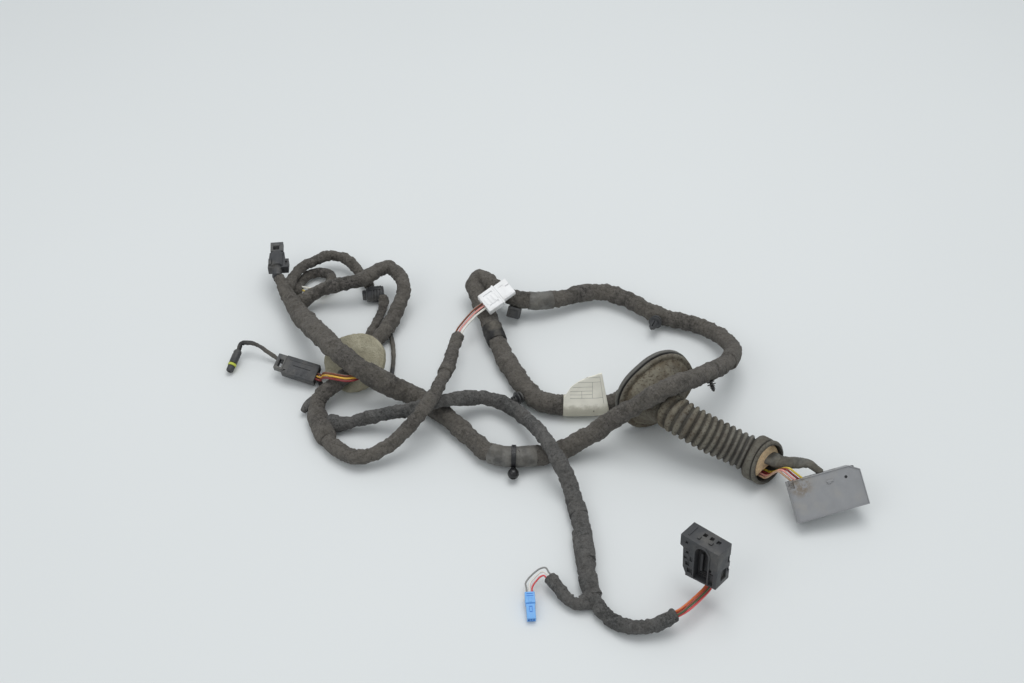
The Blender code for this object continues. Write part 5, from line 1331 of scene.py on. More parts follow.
    def foam(self) -> Object:
        """Make the foam plug in the upper part of the mouth."""
        place = frame_at((self.mouth_at - self.mouth_out * self.mouth[1]) / MM, (0, 0, 1), self.mouth_out)
        radius = self.mouth[0] - 0.0005
        cut = radians(112)
        outline = [(radius * cos(t), radius * sin(t)) for t in np.linspace(-cut, cut, 56)]
        ends = outline[-1], outline[0]
        for t in np.linspace(0, 1, 26)[1:-1]:
            x = ends[0][0] * (1 - t) + ends[1][0] * t
            y = ends[0][1] * (1 - t) + ends[1][1] * t
            outline.append((x + 0.0009 * sin(pi * t) + 0.0003 * sin(9 * t), y))
        centre = Vector((radius * 0.22, 0.0, 0.0))
        rings = []
        profile = ((0.4, 0.4), (1.6, 0.1), (4.5, 0.0), (7.4, 0.0), (8.6, 0.6), (9.2, 1.7), (9.4, 4.0))
        for z, inset in (np.array(profile) * MM).tolist():
            ring = []
            for x, y in outline:
                flat = Vector((x, y, 0.0)) - centre
                point = centre + flat * (1 - inset / max(flat.length, 1e-4))
                point.z = z + 0.0007 * noise.noise(Vector((x, y, z)) * 320.0) * (z > 0.004)
                ring.append(place @ point)
            rings.append(self.slant(ring))
        foam = extrude_rings("boot_foam", rings)
        settle(foam, FOAM_TAN, 60.0)
        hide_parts("grommet_foam")
        return foam


Outline = Sequence[tuple[float, float]]
Corner = tuple[float, float, float]


class Along(Enum):
    """The axis that a shape is drawn out along; its outline lies in the other two, in order."""

    X = "x"
    Y = "y"
    Z = "z"


@dataclass
class Bench:
    """A piece shaped in its own axes, in millimetres, and then set where it belongs."""

    name: str
    parts: list[Object] = field(default_factory=list)

    def prism(
        self, outline: Outline, low: float, high: float, along: Along = Along.Z, round_by: float = 0.0,
        segments: int = 3,
    ) -> Object:
        """Draw an outline out into a solid and round its edges.

        Args:
            outline: Its corners.
            low: Where the solid starts along its axis.
            high: Where it ends.
            along: The axis.
            round_by: The width of its rounded edges.
            segments: Faces across each rounded edge.

        Returns:
            The solid, which stays the newest part of this piece.
        """
        bpy.ops.object.select_all(action="DESELECT")
        bpy.ops.mesh.primitive_circle_add(vertices=len(outline), radius=0.01, fill_type="NGON")
        obj = bpy.context.active_object

        def work(bm: EditMesh) -> None:
            """Lay the outline and extrude it."""
            for vert, (a, b) in zip(bm.verts, outline):
                spot = {Along.X: (low, a, b), Along.Y: (a, low, b), Along.Z: (a, b, low)}[along]
                vert.co = Vector(spot) * MM
            rise = [(high - low) * MM if axis is along else 0.0 for axis in Along]
            bpy.ops.mesh.select_all(action="SELECT")
            bpy.ops.mesh.extrude_region_move(TRANSFORM_OT_translate={"value": rise})
            bpy.ops.mesh.select_all(action="SELECT")
            bpy.ops.mesh.normals_make_consistent(inside=False)

        edit_ops(obj, work)
        if round_by:
            edges = {"limit_method": "ANGLE", "angle_limit": radians(28)}
            apply_modifier(obj, "BEVEL", width=round_by * MM, segments=segments, **edges)
        self.parts.append(obj)
        return obj

    def block(self, low: Corner, high: Corner, round_by: float = 0.0, segments: int = 3) -> Object:
        """Add a box between two corners."""
        outline = ((low[0], low[1]), (high[0], low[1]), (high[0], high[1]), (low[0], high[1]))
        return self.prism(outline, low[2], high[2], Along.Z, round_by, segments)

    def blocks(self, *boxes: tuple[Corner, Corner, float, int]) -> None:
        """Add boxes, each given by two corners, the width of its rounded edges and their faces."""
        for low, high, round_by, segments in boxes:
            self.block(low, high, round_by, segments)

    def barrel(
        self, centre: tuple[float, float], radius: float, low: float, high: float, along: Along = Along.Z,
        round_by: float = 0.0, sides: int = 40,
    ) -> Object:
        """Add a round pin, post or disc.

        Args:
            centre: Where its axis crosses the other two.
            radius: Its radius.
            low: Where it starts along its axis.
            high: Where it ends.
            along: The axis.
            round_by: The width of its rounded edges.
            sides: Faces around it.

        Returns:
            The part.
        """
        x, y = centre
        outline = [(x + radius * cos(t), y + radius * sin(t)) for t in circle(sides)]
        return self.prism(outline, low, high, along, round_by, 2)

    def carve(self, body: Object, cutter: Object) -> None:
        """Cut one part's shape out of another and take the cutter away."""
        self.parts.remove(cutter)
        apply_modifier(body, "BOOLEAN", operation="DIFFERENCE", solver="EXACT", object=cutter)
        bpy.data.objects.remove(cutter, do_unlink=True)

    def pockets(self, body: Object, boxes: Sequence[tuple[Corner, Corner]]) -> None:
        """Cut boxes out of a part, one after another."""
        for low, high in boxes:
            self.carve(body, self.block(low, high))

    def rim(self, body: Object, facing: Corner, margin: float, step: float, slope: float = 0.25) -> None:
        """Sink the field of each flat face that faces one way, and leave a border round it.

        Args:
            body: The part.
            facing: The way that the faces look.
            margin: The border's width.
            step: How deep the field lies; less than 0 raises it.
            slope: The width of the wall between the two.
        """
        towards = Vector(facing).normalized()

        def work(bm: EditMesh) -> None:
            """Select the faces and inset them twice."""
            bpy.ops.mesh.select_all(action="DESELECT")
            best = max((f.calc_area() for f in bm.faces if f.normal.dot(towards) > 0.99), default=0.0)
            for face in bm.faces:
                face.select = face.normal.dot(towards) > 0.99 and face.calc_area() > best * 0.4
            bpy.ops.mesh.inset(thickness=margin * MM, depth=0.0)
            bpy.ops.mesh.inset(thickness=slope * MM, depth=-step * MM)

        edit_ops(body, work)

    def settle(self, place: Matrix, finish: Finish, *nodes: str) -> Object:
        """Join the parts, set them in their place and dress them.

        Args:
            place: The placement of the piece's own axes.
            finish: What it is dressed in.
            nodes: The CAD nodes that it stands for.

        Returns:
            The piece.
        """
        bpy.ops.object.select_all(action="DESELECT")
        for part in self.parts:
            part.select_set(True)
        bpy.context.view_layer.objects.active = self.parts[0]
        if len(self.parts) > 1:
            bpy.ops.object.join()
        piece = bpy.context.view_layer.objects.active
        piece.name = self.name
        piece.data.transform(place)
        settle(piece, finish, 32.0)
        if nodes:
            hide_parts(*nodes)
        LOG.info("%s: %d faces", self.name, len(piece.data.polygons))
        return piece


def placed(origin: Corner, x_axis: Corner, z_axis: Corner) -> Matrix:
    """A dataclass field that holds a placement."""
    return field(default_factory=lambda: frame_at(origin, x_axis, z_axis))


def arch(centre: float, foot: float, width: float, height: float, steps: int = 14) -> list[tuple[float, float]]:
    """The outline of an arch: straight sides under a half round.

    Args:
        centre: The middle of its width.
        foot: Where its sides start.
        width: Its width.
        height: Its whole height.
        steps: Points in the half round.

    Returns:
        The outline's corners.
    """
    r = width / 2
    top = [(centre + r * cos(t), foot + height - r + r * sin(t)) for t in np.linspace(0, pi, steps)]
    return [(centre - r, foot), (centre + r, foot)] + top


@dataclass
class DoorPlug:
    """Wide flat plug: a grey cover with a cut corner over a dark body with its mating side below."""

    place: Matrix = placed((230.8, -123.5, 14), (0.964, 0.187, 0.187), (0.03, -0.66, 0.75))
    size: tuple[float, float, float] = (65.0, 37.0, 11.0)
    chamfer: float = 9.0

    def cover(self) -> Object:
        """Make the cover with its border, notch, hole, ribs along its back and snap windows in its front."""
        wide, deep, thick = self.size
        cut = self.chamfer
        bench = Bench("door_plug_cover_piece")
        outline = ((0, 0), (wide, 0), (wide, deep - 0.6 * cut), (wide - cut, deep), (0, deep))
        shell = bench.prism(outline, -thick, 0.0, round_by=0.35, segments=3)
        for margin, step in ((0.35, 0.7), (0.55, -0.6)):
            bench.rim(shell, (0, 0, 1), margin, step, 0.12)
        bench.pockets(shell, [((-1, 30, -2.4), (5, 38, 1)), ((-1, 32.6, -6.5), (2.2, 38, -2.0))])
        bench.carve(shell, bench.barrel((51, 28), 1.4, -4.0, 1.0, sides=28))
        bench.pockets(shell, [((8 + 16 * k, -1, -8.6), (14 + 16 * k, 0.9, -5.4)) for k in range(4)])
        bench.pockets(shell, [((6 + 11 * k, deep - 0.8, -9.0), (12 + 11 * k, deep + 1, -3.4)) for k in range(4)])
        bench.blocks(
            ((33.0, 27.4, -0.5), (39.5, 29.4, 0.25), 0.2, 3), ((34.2, 26.2, -0.5), (37.0, 27.6, 0.1), 0.15, 3),
            *(((1.6, 32.4 + 1.4 * k, -3.0), (4.2, 33.1 + 1.4 * k, -1.3), 0.15, 2) for k in range(3)),
        )
        return bench.settle(self.place, GREY, "door_plug_cover")

    def body(self) -> Object:
        """Make the body under the cover: a socket with a rim, its island and rows of terminal holes."""
        wide, deep, thick = self.size
        low = -thick - 6.8
        bench = Bench("door_plug_body_piece")
        shell = bench.block((2, 2, low), (wide - 2, deep - 2, -thick - 0.3), 0.6)
        bench.pockets(shell, [((4.2, 4.2, low - 1), (wide - 4.2, deep - 4.2, low + 4.4))])
        island = bench.block((8, 8, low + 0.4), (wide - 8, deep - 8, low + 4.8), 0.4)
        bench.pockets(island, [
            ((11 + 5.4 * k, 11 + 8.4 * r, low - 1), (13.2 + 5.4 * k, 13.6 + 8.4 * r, low + 3.0))
            for k in range(8) for r in range(2)
        ])
        for x in (14, 44):
            bench.block((x, 0.9, low + 1.4), (x + 6, 2.3, -thick - 0.9), 0.3)
        return bench.settle(self.place, BLACK, "door_plug_body")

    def build(self) -> None:
        """Make both halves of the plug."""
        self.cover()
        self.body()


@dataclass
class MotorPlug:
    """Upright plug of the window motor: an arched recess with a lock tongue, a hook and snap notches."""

    place: Matrix = placed((122.0, -185.3, 26.4), (0.77, -0.62, 0.14), (0, 0.22, 0.975))
    depth: float = 20.0
    arch_at: float = 17.6
    arch_foot: float = 1.6
    arch_size: tuple[float, float] = (12.6, 34.0)
    tongue_size: tuple[float, float] = (8.6, 30.0)

    def housing(self) -> Object:
        """Make the housing with its recess, pockets, notches and raised border."""
        bench = Bench("motor_plug_housing")
        outline = ((3, 0), (33, 0), (33, 36.8), (-4, 40.4), (-4, 29.6), (-1, 28.1), (0, 8.1), (3, 2.2))
        shell = bench.prism(outline, 0.0, self.depth, Along.Y, 0.25, 2)
        wide, high = self.arch_size
        at, foot = self.arch_at, self.arch_foot
        bench.carve(shell, bench.prism(arch(at, foot, wide, high), -1.0, 6.4, Along.Y))
        bench.pockets(shell, [
            ((23.4, -1, 1.6), (29.4, 5.3, 14.4)), ((23.4, -1, 15.0), (27.4, 2.4, 18.2)),
            ((-6, 5, 22.2), (-1.2, 16, 34)), ((30.8, 7, 4.4), (34, 15, 14.8)), ((31.6, 16, 18.5), (34, 21, 25.2)),
            ((31.6, 16, 9.6), (34, 21, 13.3)), ((2.4, -1, 11.1), (6, 1.6, 15.5)), ((4.4, -1, 4.4), (8.4, 1.6, 8.9)),
            ((2.2, -1, 22.0), (4.6, 1.2, 26.2)), ((0.9, -1, 33.4), (3.6, 1.4, 36.0)),
            ((9.0, -1, 3.2), (11.0, 1.3, 9.6)), ((0.4, -1, 16.8), (3.4, 0.9, 20.0)),
            ((6.2, -1, 17.0), (8.8, 1.0, 21.4)),
            *(((10 + 6.5 * k, 11, 35.5), (13.5 + 6.5 * k, 15, 42)) for k in range(3)),
        ])
        ring = bench.prism(arch(at, foot - 0.4, wide + 3.0, high + 2.2, 20), -0.8, 0.6, Along.Y, 0.3, 2)
        bench.carve(ring, bench.prism(arch(at, foot - 2.0, wide + 0.4, high + 2.1, 20), -1.0, 1.6, Along.Y))
        bench.blocks(
            ((24.6, 2.8, 2.4), (28.6, 5.6, 8.8), 0.4, 3), ((24.2, 1.2, 10.6), (28.8, 5.6, 12.0), 0.3, 3),
            *(((1.2, -0.4, a), (5.2, 0.6, b), 0.25, 2) for a, b in ((15.2, 17.8), (21.6, 23.6), (26.4, 28.0))),
            *(((26.9 + 1.6 * k, 18.6, 2.4), (27.6 + 1.6 * k, self.depth + 0.1, 34), 0.2, 2) for k in range(4)),
            ((0.6, 3.2, 39.1), (2.2, 16.8, 40.6), 0.4, 3), ((19.0, 5.6, 38.2), (22.4, 9.2, 39.3), 0.3, 3),
            ((8.4, 4.6, 39.2), (11.0, 8.8, 40.4), 0.3, 3),
        )
        return bench.settle(self.place, BLACK, "motor_plug")

    def tongue(self) -> Object:
        """Make the lock tongue in the recess, with its finger rib and the dark foot under it."""
        wide, high = self.tongue_size
        foot = self.arch_foot + 1.6
        bench = Bench("motor_plug_tongue")
        plate = bench.prism(arch(self.arch_at, foot, wide, high, 22), 4.4, 6.1, Along.Y, 0.4)
        bench.rim(plate, (0, -1, 0), 0.8, 0.45, 0.3)
        bench.prism(arch(self.arch_at - 0.8, foot + 8.0, 2.4, high - 12.0, 10), 1.4, 5.0, Along.Y, 0.3, 2)
        for k in range(3):
            z = foot + 1.6 + 1.9 * k
            bench.block((self.arch_at - 3.4, 3.6, z), (self.arch_at + 3.4, 5.0, z + 0.9), 0.25, 2)
        return bench.settle(self.place, TONGUE, "motor_plug_lock")

    def build(self) -> None:
        """Make the housing and its tongue."""
        self.housing()
        self.tongue()


@dataclass
class WhitePlug:
    """White plug in two stepped sections with slots and a lock window."""

    place: Matrix = placed((-48, 130, 37.4), (0.80, 0.56, 0.2), (-0.05, -0.42, 0.90))

    def build(self) -> None:
        """Make the housing and its lock section."""
        bench = Bench("white_plug_housing")
        shell = bench.block((0, -10.5, -9), (18.5, 10.5, 0), 0.5)
        slots = [((4, 21 * s - 1.2, -1.2), (14.5, 21 * s + 1.2, 1)) for s in (-0.28, 0.28)]
        sides = [((3 + 5 * k, 9.7, -7), (6 + 5 * k, 12, -2)) for k in range(3)]
        bench.pockets(shell, slots + sides + [((-1, -8, -7.4), (1.2, 8, -1.8))])
        for k in range(4):
            bench.block((2.2 + 4.2 * k, -3.6, -0.3), (4.4 + 4.2 * k, 3.6, 0.35), 0.2, 2)
        bench.block((16.4, -11.1, -8.2), (18.4, 11.1, 0.35), 0.3)
        bench.settle(self.place, WHITE, "white_plug")
        bench = Bench("white_plug_lock_section")
        shell = bench.block((18.8, -8.3, -8.2), (33, 9.8, -0.9), 0.5)
        bench.pockets(shell, [
            ((28, -4, -2.2), (34, 3, 0)), ((21, 4.4, -1.6), (27, 5.6, 0)), ((32, -6.4, -7.0), (34, 8, -3.4)),
        ])
        for k in range(5):
            bench.block((32.0, -5.6 + 2.7 * k, -6.6), (33.1, -4.9 + 2.7 * k, -3.8), 0.1, 1)
        bench.block((22, -6.9, -1.1), (30, -5.9, -0.5), 0.2, 2)
        bench.settle(self.place, WHITE, "white_plug_lock")


@dataclass
class BluePlug:
    """Slim blue plug in two sections with a latch rib."""

    place: Matrix = placed((-5.2, -192.5, 10.5), (0.06, -0.99, -0.12), (0, -0.12, 0.99))

    def build(self) -> None:
        """Make the body and the nose."""
        bench = Bench("blue_plug_housing")
        shell = bench.block((0, -4.25, -7), (10.3, 4.25, 0), 0.45)
        bench.pockets(shell, [
            ((1.6, -2.9, -0.6), (2.4, 2.9, 1)), ((3.6, -2.9, -0.6), (4.4, 2.9, 1)), ((-1, -3, -5.6), (1, 3, -1.4)),
        ])
        bench.block((5.6, -1.4, -0.4), (9.8, 1.4, 0.4), 0.3)
        bench.settle(self.place, BLUE, "blue_plug")
        bench = Bench("blue_plug_tip")
        shell = bench.block((10.6, -3.75, -7), (24.5, 3.75, -0.8), 0.4)
        holes = [((23.2, -2.9 + 2.1 * k, -5.6), (25, -1.5 + 2.1 * k, -2.4)) for k in range(3)]
        bench.pockets(shell, holes + [((13, -1.5, -1.6), (19, 1.5, 0))])
        bench.block((14.0, -1.0, -1.8), (18.0, 1.0, -0.9), 0.3)
        bench.settle(self.place, BLUE, "blue_plug_nose")


@dataclass
class RearPlug:
    """Plug at the back left: a body with ears and ridges, and a latch box with a bright window."""

    place: Matrix = placed((-259.6, 189.0, 30.2), (-0.10, 0.97, 0.05), (0, -0.05, 1))

    def build(self) -> None:
        """Make the body and the latch box."""
        bench = Bench("rear_plug_housing")
        outline = (
            (-11, -4), (0, -4), (0, -11.25), (12.1, -12), (12.1, -8.25), (22, -7.5), (22, 7.5), (0, 9.3), (0, 4),
            (-11, 4),
        )
        shell = bench.prism(outline, -6.5, 3.0, round_by=0.5)
        bench.pockets(shell, [
            ((3, -10.6, 1.4), (8.6, -8.4, 5)), ((15, -6.6, 1.6), (20, -4.6, 5)),
            ((-12, -2.4, -4.6), (-9.4, 2.4, 4.6)),
        ])
        bench.barrel((0.0, 0.6), 6.6, 1.6, 20.6, Along.X, 0.5)
        bench.barrel((0.0, 0.2), 4.9, -10.8, 2.0, Along.X, 0.4)
        bench.block((3.2, 5.4, 1.0), (10.6, 8.4, 5.6), 0.4)
        for k in range(4):
            bench.block((-9.4 + 2.2 * k, -4.4, -4.2), (-8.3 + 2.2 * k, 4.4, 4.4), 0.25, 2)
        bench.settle(self.place, BLACK, "rear_plug")
        bench = Bench("rear_plug_latch")
        shell = bench.block((22.3, -6.5, -1.0), (35.3, 6.5, 4.6), 0.4)
        bench.pockets(shell, [
            ((24.2, -2.6, -6), (29.4, 3.8, 6)), ((34.2, -4.6, 0.2), (36, 4.6, 3.2)),
            ((30.4, -7, 1.0), (33.4, -5.6, 4)),
        ])
        bench.block((29.6, -3.2, 4.6), (33.8, 3.6, 5.3), 0.25, 2)
        bench.settle(self.place, DUSTY, "rear_plug_cap")


@dataclass
class FlatPlug:
    """Flat plug beside the foam disc, with a slit along it and an open latch at its end."""

    place: Matrix

    def build(self) -> None:
        """Make the body and the latch."""
        bench = Bench("flat_plug_housing")
        shell = bench.block((0, -9.5, -9.5), (34, 9.5, 0), 0.7)
        bench.pockets(shell, [
            ((7, -0.9, -0.7), (25, -0.3, 1)), ((-1, -7.6, -8), (1.2, 7.6, -1.6)),
            ((30.4, 5.6, -1.2), (32.6, 8.2, 1)),
        ])
        for k in range(5):
            bench.block((8 + 4.4 * k, 2.6, -0.4), (10.4 + 4.4 * k, 7.4, 0.3), 0.25, 2)
        bench.block((4, -6.6, -0.4), (30, -5.4, 0.35), 0.25, 2)
        bench.settle(self.place, BLACK, "flat_plug")
        bench = Bench("flat_plug_latch_piece")
        shell = bench.block((34.3, -9.5, -8.5), (43.3, 6.5, -1.5), 0.5)
        bench.pockets(shell, [((35.8, -4.4, -9), (40.2, 4.0, 0)), ((42, -7.4, -6.8), (44, 4.6, -3.2))])
        bench.block((41.0, -5.6, -1.8), (42.4, 3.4, -0.9), 0.2, 2)
        bench.block((35.6, -5.0, -3.4), (40.4, -4.0, -1.9), 0.2, 2)
        bench.settle(self.place, DUSTY, "flat_plug_latch")


def sleeve(
    name: str, course: Course, centre: Corner, length: float, grow: float, offset: Offset, finish: Finish,
    sides: int = 48,
) -> Object:
    """A closed sleeve round part of a strand.

    Args:
        name: The piece's name.
        course: The strand's course.
        centre: The middle of the sleeve, in millimetres.
        length: How long it is, in metres.
        grow: How far it stands off the strand's plain radius.
        offset: The relief of its skin.
        finish: What it is dressed in.
        sides: Faces around it.

    Returns:
        The sleeve.
    """
    middle = course.along[course.nearest([v * MM for v in centre])]
    low = int(np.searchsorted(course.along, middle - length / 2))
    high = int(np.searchsorted(course.along, middle + length / 2))
    at = np.linspace(course.along[low], course.along[high], max(12, int(length / 0.0006)))
    points, tangents, across, upward = (
        np.stack([np.interp(at, course.along, grid[:, k]) for k in range(3)], axis=1)
        for grid in (course.points, course.tangents, course.sides, course.ups)
    )
    part = Course(points, np.interp(at, course.along, course.radii) + grow, at, tangents, across, upward)
    return tube(name, part, sides, offset, finish, 1.0 / TAPE_PITCH, 0.04)


def seat(course: Course, point: Corner, outward: Corner, clear: float = 0.0003) -> Matrix:
    """A placement on a strand's side: x along the strand, z out of its surface.

    Args:
        course: The strand's course.
        point: The place that the seat is nearest to, in millimetres.
        outward: The way it looks, roughly.
        clear: How far it stands off the strand, in metres.

    Returns:
        The placement.
    """
    i = course.nearest([v * MM for v in point])
    spot, along = course.sample(i)
    out = Vector(outward)
    out = (out - along * out.dot(along)).normalized()
    return frame_at((spot + out * (float(course.radii[i]) + clear)) / MM, along, out)


def lathe(bench: Bench, profile: Sequence[tuple[float, float]], sides: int = 48) -> Object:
    """Turn a profile of heights and radii, in millimetres, into a part of a piece."""
    rings = []
    for z, r in profile:
        rings.append([Vector((r * cos(t), r * sin(t), z)) * MM for t in circle(sides)])
    obj = extrude_rings(f"{bench.name}_turned", rings)
    bench.parts.append(obj)
    return obj


@dataclass
class RoundPlugs:
    """The ribbed round plug at the back and the sensor probe at the left."""

    round_at: Matrix = placed((-151.0, 176.2, 8.9), (0, 0, 1), (-0.98, -0.16, 0.0))
    radius: float = 8.2
    length: float = 18.0

    def round_plug(self) -> None:
        """Make the ribbed body and its hollow nose."""
        r, length = self.radius, self.length
        bench = Bench("round_plug_body")
        profile = [(0.0, r * 0.72), (0.15, r * 0.82), (0.6, r * 0.93)]
        for k in range(4):
            z = 1.7 + 3.0 * k
            for rise, inset in ((0, 0.95), (0.25, 0.8), (0.55, 0.12), (0.85, 0), (1.75, 0), (2.05, 0.12), (2.35, 0.8)):
                profile.append((z + rise, r - inset))
        profile += [(length - 3.6, r - 0.9), (length - 1.0, r - 0.85), (length - 0.4, r - 1.2), (length, r - 1.7)]
        lathe(bench, profile)
        for k in range(3):
            t = 2 * pi * k / 3 + 0.4
            x, y = 7.4 * cos(t), 7.4 * sin(t)
            bench.barrel((x, y), 0.8, 2.0, 16.0, round_by=0.25, sides=14)
        bench.block((5.9, -2.2, 3.0), (8.9, 2.2, 14.5), 0.4)
        bench.settle(self.round_at, BLACK, "round_plug")
        bench = Bench("round_plug_tip")
        nose = ((0.3, 0), (0.6, 0.15), (3.0, 0), (3.9, -0.25), (4.2, -0.9), (4.1, -1.4), (1.4, -1.6))
        lathe(bench, [(length + rise, r * 0.62 + grow) for rise, grow in nose])
        bench.barrel((0.0, 0.0), 0.9, length + 1.2, length + 3.6, sides=16, round_by=0.3)
        bench.settle(self.round_at, BLACK, "round_plug_nose")

    def probe(self) -> None:
        """Make the probe and its seal at the end of the probe's lead."""
        tip, inner = (Vector(knot[:3]) for knot in route("lead_probe")[:2])
        out = (tip - inner).normalized()
        place = frame_at(tip + out * 0.3, (0, 0, 1), out)
        bench = Bench("probe_body")
        profile = (
            (0.0, 2.7), (0.5, 3.3), (2.0, 4.0), (3.4, 4.05), (3.8, 3.75), (5.0, 3.75), (5.4, 4.05), (13.6, 4.0),
            (14.3, 3.9), (14.8, 2.95), (17.9, 2.95), (18.2, 3.6), (22.4, 3.55), (23.4, 3.2), (24.0, 2.4),
            (23.9, 1.7), (21.6, 1.5),
        )
        lathe(bench, profile, 40)
        for k in range(4):
            bench.block((3.3, -0.5, 6.2 + 1.8 * k), (4.35, 0.5, 7.1 + 1.8 * k), 0.15, 2)
        bench.settle(place, BLACK, "probe_plug")
        bench = Bench("probe_seal_ring")
        rings = (
            (15.2, 3.0), (15.2, 4.05), (15.5, 4.22), (15.9, 4.05), (16.2, 3.95), (16.5, 4.05), (16.9, 4.22),
            (17.3, 4.1), (17.5, 3.9), (17.5, 3.0),
        )
        lathe(bench, rings, 40)
        bench.settle(place, SEAL, "probe_seal")

    def build(self) -> None:
        """Make both round plugs."""
        self.round_plug()
        self.probe()


@dataclass
class Fixings:
    """Clips, the cable tie and the bands of tape on the strands."""

    strands: dict[str, Course]

    def edge_clip(self) -> None:
        """Make the box-shaped edge clip with its slot, teeth and foot."""
        bench = Bench("edge_clip")
        shell = bench.block((-6.5, -6.0, 0.0), (6.5, 6.0, 11.0), 0.8)
        bench.pockets(shell, [
            ((-8, -1.4, 4.0), (8, 1.4, 12.0)), ((-4.4, -7, 2.4), (4.4, -4.6, 8.6)),
            ((-4.4, 4.6, 2.4), (4.4, 7, 8.6)),
        ])
        for k in range(4):
            for side in (-1, 1):
                low, high = sorted((side * 1.0, side * 1.7))
                bench.block((-4.8 + 2.6 * k, low, 5.4), (-3.4 + 2.6 * k, high, 10.2), 0.15, 1)
        bench.settle(seat(self.strands["trunk"], (-14, 155, 21), (0.05, -0.62, -0.78)), BLACK, "clip_edge")

    def fir_clip(self, node: str, strand: str, point: Corner, out: Corner, scale: float) -> None:
        """Make a fir-tree clip: a round foot, a disc and a stem with stepped fins.

        Args:
            node: The clip's CAD node.
            strand: The strand that it sits on.
            point: Where, in millimetres.
            out: The way its stem points, roughly.
            scale: Its size against the usual clip.
        """
        bench = Bench(f"{node}_piece")
        profile = [
            (0.0, 4.6), (0.2, 5.0), (1.3, 5.0), (1.6, 4.6), (1.9, 2.3), (3.3, 2.2), (3.5, 5.0), (3.7, 5.7),
            (4.5, 5.9), (4.8, 5.5), (5.0, 3.6), (5.4, 2.6),
        ]
        for k in range(3):
            z, r = 6.0 + 2.2 * k, 3.9 - 0.4 * k
            profile += [(z, 1.8), (z + 0.25, r - 0.2), (z + 0.45, r), (z + 0.75, r - 0.15), (z + 1.7, r - 1.3)]
        profile += [(13.3, 1.5), (13.8, 1.2), (14.0, 0.6)]
        stem = lathe(bench, [(z * scale, r * scale) for z, r in profile], 36)
        bench.pockets(stem, [((-0.45 * scale, -7, 6.6 * scale), (0.45 * scale, 7, 12.4 * scale))])
        bench.settle(seat(self.strands[strand], point, out), BLACK, node)

    def tie(self) -> None:
        """Make the cable tie: its strap with fine teeth and its ball-shaped head."""
        course = self.strands["trunk"]
        i = course.nearest([-19 * MM, -46 * MM, 10 * MM])
        spot, along = course.sample(i)
        out = Vector((-0.05, -0.9, -0.25))
        out = (out - along * out.dot(along)).normalized()
        inner = float(course.radii[i]) / MM + 1.1
        bench = Bench("cable_tie")
        rings = []
        for z, r in ((-2.1, 0.0), (-2.1, 0.9), (-1.9, 1.2), (1.9, 1.2), (2.1, 0.9), (2.1, 0.0), (-2.1, 0.0)):
            ring = []
            for k, t in enumerate(circle(120)):
                reach = inner + r - (0.18 if r > 1.0 and k % 2 else 0.0)
                ring.append(Vector((reach * cos(t), reach * sin(t), z)) * MM)
            rings.append(ring)
        strap = extrude_rings("cable_tie_strap", rings, (False, False))

        def close(bm: EditMesh) -> None:
            """Join the strap's first ring to its last."""
            bpy.ops.mesh.select_all(action="SELECT")
            bpy.ops.mesh.remove_doubles(threshold=0.00001)
            bpy.ops.mesh.normals_make_consistent(inside=False)

        edit_ops(strap, close)
        bench.parts.append(strap)
        bench.settle(frame_at(spot / MM, out, along), GLOSSY, "tie_strap")
        bench = Bench("cable_tie_head")
        r = 5.2
        profile = [(0.0, 2.0), (0.3, 2.6)]
        for k in range(1, 14):
            a = pi * k / 14
            profile.append((r - r * cos(a) + 0.4, max(2.2 if k < 3 else 0.8, r * sin(a))))
        profile.append((2 * r + 0.5, 0.6))
        head = lathe(bench, profile, 36)
        bench.pockets(head, [((-7, -1.5, 3.2), (-2.6, 1.5, 5.4)), ((-2.2, -0.9, 9.6), (2.2, 0.9, 12.0))])
        bench.block((-4.9, -1.1, 3.6), (-3.2, 1.1, 4.8), 0.2, 2)
        bench.settle(frame_at((spot + out * (inner + 1.5) * MM) / MM, along, out), GLOSSY, "tie_head")

    @staticmethod
    def wound(lap: float, slack: float, seed: float) -> Offset:
        """The relief of smooth tape: its lap and slack wrinkles."""

        def relief(angles: np.ndarray, rows: np.ndarray, course: Course) -> np.ndarray:
            """How far each vertex stands off."""
            along = course.along[rows]
            phase = (angles / (2 * pi) + along / TAPE_PITCH) % 1.0
            out = lap * (np.clip(1 - phase / 0.9, 0, 1) * np.clip(phase / 0.05, 0, 1))
            out = out + slack * np.sin(along / 0.0041 + 2.2 * np.sin(angles * 2 + seed)) * np.sin(angles + seed)
            fine = np.sin(along / 0.0013 + 3 * np.sin(angles + seed))
            return out + slack * 0.8 * fine * np.sin(2 * angles + along / 0.006) ** 2

        return relief

    @staticmethod
    def ragged(grow: float, seed: float) -> Offset:
        """The relief of an extra lap of fleece tape, whose ends taper where it is thick."""

        def relief(angles: np.ndarray, rows: np.ndarray, course: Course) -> np.ndarray:
            """How far each vertex stands off."""
            along = course.along[rows]
            places = course.points[:, None, :] + course.spokes(angles) * course.radii[:, None, None]
            soft = np.array([
                0.0005 * noise.noise(Vector(p) * 170.0) + 0.0003 * noise.noise(Vector(p) * 480.0)
                for p in places.reshape(-1, 3).tolist()
            ]).reshape(angles.shape)
            wave = 0.0002 * np.sin(angles * 3 + seed + along / 0.004)
            edge = np.minimum(along - along.min(), along.max() - along) / 0.006
            taper = grow * 0.7 * np.clip(1 - edge, 0, 1) ** 2 * (grow > 0.002)
            return soft + wave - taper

        return relief

